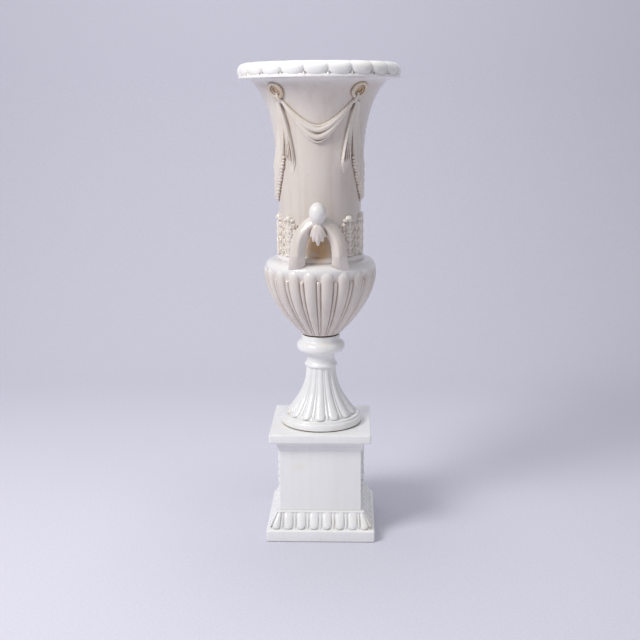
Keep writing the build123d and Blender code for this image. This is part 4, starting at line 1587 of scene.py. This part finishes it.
@dataclass
class Drapery:
    """The rings under the rim, the swag over each handle and the cloth below each ring."""

    neck: Neck
    eye_azimuth: float = 41.0
    z_eye: float = 801.7 * MM
    z_spring: float = 785.2 * MM
    eye_r: float = 12.8 * MM
    wire_r: float = 3.4 * MM
    tail_l: float = 122.0 * MM
    tail_w: float = 9.4
    fall_h: float = 172.0 * MM
    fall_swing: float = 34.0
    hem_beads: int = 27
    voxel: float = 0.62 * MM

    def fall(self, share: np.ndarray | float) -> np.ndarray | float:
        """The azimuth of the cascade's inner edge, at a share of its drop."""
        return self.eye_azimuth + self.fall_swing * share ** 2.4

    def swag(self) -> bpy.types.Object:
        """The front swag: two full folds with thin pleats along them.

        Returns:
            The fused swag.
        """
        share = np.linspace(0, 1, 90)
        swell = np.sin(math.pi * share)
        reach = self.eye_azimuth - 2.6
        azimuth = reach * (2 * share - 1)
        hang = 1 - np.abs(2 * share - 1) ** 1.7
        folds = []
        plan = ((43.6, 1.9, 0.9, 4.6), (49.6, 5.4, 2.0, 7.6), (60.0, 5.8, 2.2, 8.2), (67.8, 2.5, 1.0, 4.8))
        for number, (drop, wide, end, proud) in enumerate(plan):
            height = self.z_spring - drop * MM * hang + (56 - drop) * 0.1 * MM
            half_w = (end + (wide - end) * swell) * MM
            high = (3.4 + (proud - 3.4) * swell ** 0.5) * MM
            folds.append(self.neck.fold(f"swag_fold_{number}", azimuth, height, half_w, high))
        return fused("swag_cloth_front", folds, self.voxel, 2)

    def tail(self) -> list[bpy.types.Object]:
        """The pointed tail that hangs beside the swag.

        Returns:
            The folds, each closed.
        """
        share = np.linspace(0, 1, 60)
        spread = np.where(share < 0.86, share / 0.86, (1.03 - share) / 0.17)
        throat = self.neck.fold("throat", self.eye_azimuth - 2.6 * share, 798 * MM - 17 * MM * share,
                                np.full(60, 3.2 * MM), (4.0 + 3.6 * np.sin(math.pi * share)) * MM)
        folds = [throat]
        ridges = ((0.0, self.tail_w, 3.6), (-0.66, 2.1, 6.8), (-0.16, 1.7, 6.2), (0.28, 1.6, 5.8),
                  (0.72, 2.1, 6.6))
        for number, (offset, wide, proud) in enumerate(ridges):
            half_w = (1.6 + (wide - 1.6) * np.clip(spread, 0.05, 1)) * MM
            reach = self.neck.radius(self.z_spring - self.tail_l * share)
            aside = np.degrees(offset * self.tail_w * MM * np.clip(spread, 0, 1) / reach)
            azimuth = self.eye_azimuth - 6.0 * share + aside
            length = self.tail_l * (1.0 if number == 0 else 0.97 - 0.05 * abs(offset))
            high = proud * MM * np.clip(np.minimum(1, 6 * (1.01 - share)), 0.2, 1)
            height = self.z_spring - length * share
            folds.append(self.neck.fold(f"tail_{number}", azimuth, height, half_w, high))
        return folds

    def cascade(self) -> list[bpy.types.Object]:
        """The stepped folds that swing outwards from the ring.

        Returns:
            The folds, each closed.
        """
        folds = []
        for order, length in enumerate((1.0, 0.92, 0.84, 0.76, 0.68)):
            share = np.linspace(0, 1, 70)
            at = share * length
            half_w = (1.6 + 4.0 * at) * MM
            height = self.z_spring - 0.8 * MM * order - self.fall_h * at
            aside = np.degrees((order + 0.3) * 1.42 * half_w / self.neck.radius(height))
            azimuth = self.fall(at) + aside
            end = np.clip(14 * (1.0 - share), 0, 1)
            high = (3.4 + 5.0 * at) * MM * np.sqrt(np.clip(1 - (1 - end) ** 2, 0.05, 1))
            folds.append(self.neck.fold(f"cascade_{order}", azimuth, height, half_w, high))
        return folds

    def hem(self) -> list[bpy.types.Object]:
        """The ruffled hem on the cascade's inner edge.

        Returns:
            The hem's beads.
        """
        beads = []
        for number in range(self.hem_beads):
            at = 0.56 + 0.42 * number / (self.hem_beads - 1)
            outer = number % 2
            azimuth = self.fall(at) + (1.6 if outer else -2.4)
            spot = self.neck.point(np.array(azimuth), np.array(self.z_spring - self.fall_h * at),
                                   np.array(1.8 * MM))
            bead = primitive(f"hem_{number}", bpy.ops.mesh.primitive_uv_sphere_add, segments=16,
                             ring_count=12, radius=1)
            size = Vector((4.6, 4.2, 2.8) if outer else (3.8, 3.8, 2.3))
            size *= MM * (1 + 0.22 * math.sin(2.3 * number))
            tilt = Matrix.Rotation(0.55 + 0.35 * math.sin(1.7 * number), 4, "Y")
            bead.data.transform(Matrix.Translation(Vector(spot)) @ turned(azimuth) @ tilt
                                @ Matrix.Diagonal((*size, 1)))
            beads.append(bead)
        return beads

    def eye(self) -> bpy.types.Object:
        """The ring at the front right spring, with a thin inner lip.

        Returns:
            The ring and its lip as one object.
        """
        above, below = self.neck.radius(self.z_eye + MM), self.neck.radius(self.z_eye - MM)
        lean = Matrix.Rotation(math.pi / 2 + math.atan(float(above - below) / (2 * MM)), 4, "X")
        parts = []
        rings = (("ring", self.eye_r, self.wire_r, 1.6 * MM), ("lip", 7.6 * MM, 1.4 * MM, 1.0 * MM))
        for name, reach, wire, lift in rings:
            ring = primitive(f"eye_{name}", bpy.ops.mesh.primitive_torus_add, major_radius=reach,
                             minor_radius=wire, major_segments=64, minor_segments=20)
            spot = self.neck.point(np.array(0.0), np.array(self.z_eye), np.array(lift))
            ring.data.transform(Matrix.Translation(Vector(spot)) @ lean)
            parts.append(ring)
        obj = joined("ring_front_right", parts)
        obj.data.transform(turned(self.eye_azimuth))
        return obj

    def build(self, finish: bpy.types.Material, ring_finish: bpy.types.Material) -> None:
        """Build and dress every swag, ring and fall of cloth.

        Args:
            finish: the cloth's glaze.
            ring_finish: the rings' glaze.
        """
        front = self.swag()
        back = copied(front, "swag_cloth_back", turned(180))
        dressed(front, Body.URN, finish, ["swag_front"], 60)
        dressed(back, Body.URN, finish, ["swag_back"], 60)
        fall = fused("fall_front_right", self.tail() + self.cascade() + self.hem(), self.voxel, 1)
        ring = self.eye()
        for first, node, wears in ((fall, "drape", finish), (ring, "eye", ring_finish)):
            stem = first.name.split("_")[0]
            rest = {
                "front_left": copied(first, f"{stem}_front_left", MIRROR_X),
                "back_left": copied(first, f"{stem}_back_left", turned(180)),
                "back_right": copied(first, f"{stem}_back_right", MIRROR_Y),
            }
            for corner, piece in {"front_right": first, **rest}.items():
                dressed(piece, Body.URN, wears, [f"{node}_{corner}"], 60)


@dataclass
class Clamp:
    """The solids that stay as the frame has them: felt, gasket and the clamping bolt."""

    felt: Felt = Felt((70, 52, 38), (104, 82, 62))
    cork: Cork = Cork((72, 46, 28), (46, 28, 18))
    rubber: Rubber = Rubber((26, 26, 27), (58, 57, 55))
    steel: ZincSteel = ZincSteel((196, 196, 192), (150, 150, 146))

    def build(self) -> None:
        """Dress the solids that show as they are."""
        steel = self.steel.build()
        finishes = {
            "felt_ring": (self.felt.build(), Slot.FELT),
            "joint_gasket": (self.cork.build(), Slot.CORK),
            "bolt_seal": (self.rubber.build(), Slot.RUBBER),
            "clamp_bolt": (steel, Slot.STEEL),
            "bolt_washer": (steel, Slot.STEEL),
            "nut_washer": (steel, Slot.STEEL),
            "clamp_nut": (steel, Slot.STEEL),
        }
        for name, (finish, slot) in finishes.items():
            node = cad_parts[name]
            node.data.materials.clear()
            node.data.materials.append(finish)
            LOG.info("%s dressed", name)


@dataclass
class Studio:
    """The pale floor and backdrop, the soft light and the camera of the photograph."""

    camera_place: tuple[float, float, float] = (-1.3 * MM, -1742.9 * MM, 780.9 * MM)
    tilt: float = 12.57
    roll: float = -0.407
    swing: float = 2.0
    lens: float = 54.91
    sensor: float = 36.0
    floor_tint: tuple[int, int, int] = (214, 213, 224)
    floor_thread: tuple[int, int, int] = (204, 203, 216)
    floor_size: float = 12.0
    floor_y: float = -3.0
    wall_y: float = 1.8
    wall_h: float = 3.5
    wall_curve: float = 0.9

    @staticmethod
    def pick_edges(obj: bpy.types.Object, test: Callable[[Vector], bool]) -> None:
        """Select the edges whose two ends pass a test, in edit mode.

        Args:
            obj: the active object, in object mode.
            test: the test of a vertex's place.
        """
        bpy.ops.object.mode_set(mode="EDIT")
        bpy.ops.mesh.select_mode(type="EDGE")
        bpy.ops.mesh.select_all(action="DESELECT")
        bpy.ops.object.mode_set(mode="OBJECT")
        for edge in obj.data.edges:
            edge.select = all(test(obj.data.vertices[v].co) for v in edge.vertices)
        bpy.ops.object.mode_set(mode="EDIT")

    def floor(self) -> None:
        """A pale cloth that curves up behind the vase."""
        obj = primitive("pale_floor", bpy.ops.mesh.primitive_plane_add, size=self.floor_size,
                        location=(0, self.floor_y, 0))
        settle(obj)
        back = self.floor_y + self.floor_size / 2
        self.pick_edges(obj, lambda place: place.y > back - WELD)
        bpy.ops.transform.translate(value=(0, self.wall_y - back, 0))
        bpy.ops.mesh.extrude_region_move(TRANSFORM_OT_translate={"value": (0, 0, self.wall_h)})
        bpy.ops.object.mode_set(mode="OBJECT")
        self.pick_edges(obj, lambda place: abs(place.y - self.wall_y) < WELD and place.z < WELD)
        bpy.ops.mesh.bevel(offset=self.wall_curve, segments=24, affect="EDGES")
        bpy.ops.mesh.select_mode(type="VERT")
        bpy.ops.object.mode_set(mode="OBJECT")
        made = Shader("pale_cloth")
        weave = made.noise(220.0, 3.0).between(0.3, 0.7) * 0.5
        made.feed("Base Color", made.mixed(linear(*self.floor_tint), linear(*self.floor_thread), weave))
        made.feed("Roughness", 0.95)
        made.feed("Specular IOR Level", 0.1)
        smooth(obj, 60)
        obj.data.materials.append(made.material)

    @staticmethod
    def lamp(name: str, place: tuple[float, float, float], size: float, power: float,
             tint: tuple[float, float, float]) -> None:
        """Add a square soft lamp that faces the vase.

        Args:
            name: the lamp's name.
            place: where it stands.
            size: its side.
            power: its power in watts.
            tint: its colour.
        """
        bpy.ops.object.light_add(type="AREA", location=place)
        lamp = bpy.context.object
        lamp.name = name
        lamp.data.size = size
        lamp.data.energy = power
        lamp.data.color = tint
        lamp.rotation_euler = (Vector((0, 0, 0.42)) - Vector(place)).to_track_quat("-Z", "Y").to_euler()

    def lights(self) -> None:
        """A large key from the upper left, a weak fill, a top light and a pale world."""
        self.lamp("key", (-1.6, -1.3, 2.1), 1.0, 50.0, (1.0, 0.99, 0.98))
        self.lamp("fill", (1.9, -1.3, 0.9), 1.2, 5.0, (1.0, 0.98, 0.97))
        self.lamp("top", (0.0, 0.1, 2.5), 1.0, 20.0, (1.0, 1.0, 1.0))
        world = bpy.data.worlds.new("pale")
        world.use_nodes = True
        sky = Tree(world.node_tree)
        glow = sky.node("ShaderNodeBackground", sockets={"Color": (0.86, 0.87, 0.93, 1), "Strength": 0.32})
        seen = sky.node("ShaderNodeBackground", sockets={"Color": linear(*self.floor_tint)})
        ray = sky.node("ShaderNodeLightPath").outputs["Is Camera Ray"]
        choice = sky.node("ShaderNodeMixShader", sockets={0: ray, 1: glow.outputs[0], 2: seen.outputs[0]})
        sky.node("ShaderNodeOutputWorld", sockets={"Surface": choice.outputs[0]})
        bpy.context.scene.world = world

    def camera(self) -> None:
        """The photograph's camera, swung a little so that it sees the plinth's right side."""
        data = bpy.data.cameras.new("photo_camera")
        data.lens = self.lens
        data.sensor_width = self.sensor
        data.clip_start = 0.05
        camera = bpy.data.objects.new("photo_camera", data)
        bpy.context.scene.collection.objects.link(camera)
        stand = Matrix.Translation(self.camera_place)
        pitch = Matrix.Rotation(math.radians(90 - self.tilt), 4, "X")
        roll = Matrix.Rotation(math.radians(self.roll), 4, "Z")
        camera.matrix_world = turned(self.swing) @ stand @ pitch @ roll
        bpy.context.scene.camera = camera

    def build(self) -> None:
        """Set the stage."""
        self.floor()
        self.lights()
        self.camera()
        bpy.context.scene.view_settings.view_transform = "Standard"


def ring_spots(neck: Neck, azimuth: float, height: float, radius: float,
               share: float) -> tuple[tuple[tuple[float, float, float], float, float], ...]:
    """The stains inside the four rings.

    Args:
        neck: the neck that the rings lie on.
        azimuth: the front right ring's azimuth, in degrees.
        height: the rings' height.
        radius: each stain's radius.
        share: how strong the stains are.

    Returns:
        The centre, radius and share of each stain.
    """
    spots = []
    for turn in (azimuth, -azimuth, 180 - azimuth, azimuth - 180):
        spot = neck.point(np.array(float(turn)), np.array(height), np.array(0.0))
        spots.append((tuple(float(v) for v in spot), radius, share))
    return tuple(spots)


def ivory_glaze(neck: Neck) -> Glaze:
    """The body's glaze: white on the rim and shoulder, amber behind the handles and in the rings.

    Args:
        neck: the neck that the rings lie on.

    Returns:
        The glaze, not yet built.
    """
    grips = tuple(((0.0, side.value * 0.0735, z), r, 0.9) for side in Side
                  for z, r in ((0.530, 0.028), (0.550, 0.026), (0.564, 0.022)))
    return Glaze(
        "ivory_glaze", tint=(227, 219, 211), pool=(217, 206, 196), stain_and_shade=(124, 84, 48), stain_and_shade_share=0.5,
        patch=(232, 214, 184), patch_share=0.12,
        white_bands=((0.808, 0.824, 0.9, 1.0, 1.0), (0.478, 0.499, 0.513, 0.524, 0.8)),
        spots=grips + ring_spots(neck, 41.0, 0.8017, 0.014, 1.0))


def main() -> None:
    """Build every piece, in order, and set the stage."""
    logging.basicConfig(level=logging.INFO, format="%(name)s %(message)s")
    neck = Neck()
    white = WHITE_GLAZE.build()
    Plinth().build(white)
    Wreath().build(white)
    FootCasting().build(white)
    Casting(neck).build(ivory_glaze(neck).build())
    Handle().build(HANDLE_GLAZE.build())
    LeafBand(neck).build(LEAF_GLAZE.build())
    Drapery(neck).build(CLOTH_GLAZE.build(), RING_GLAZE.build())
    Clamp().build()
    Studio().build()


if __name__ == "__main__":
    main()
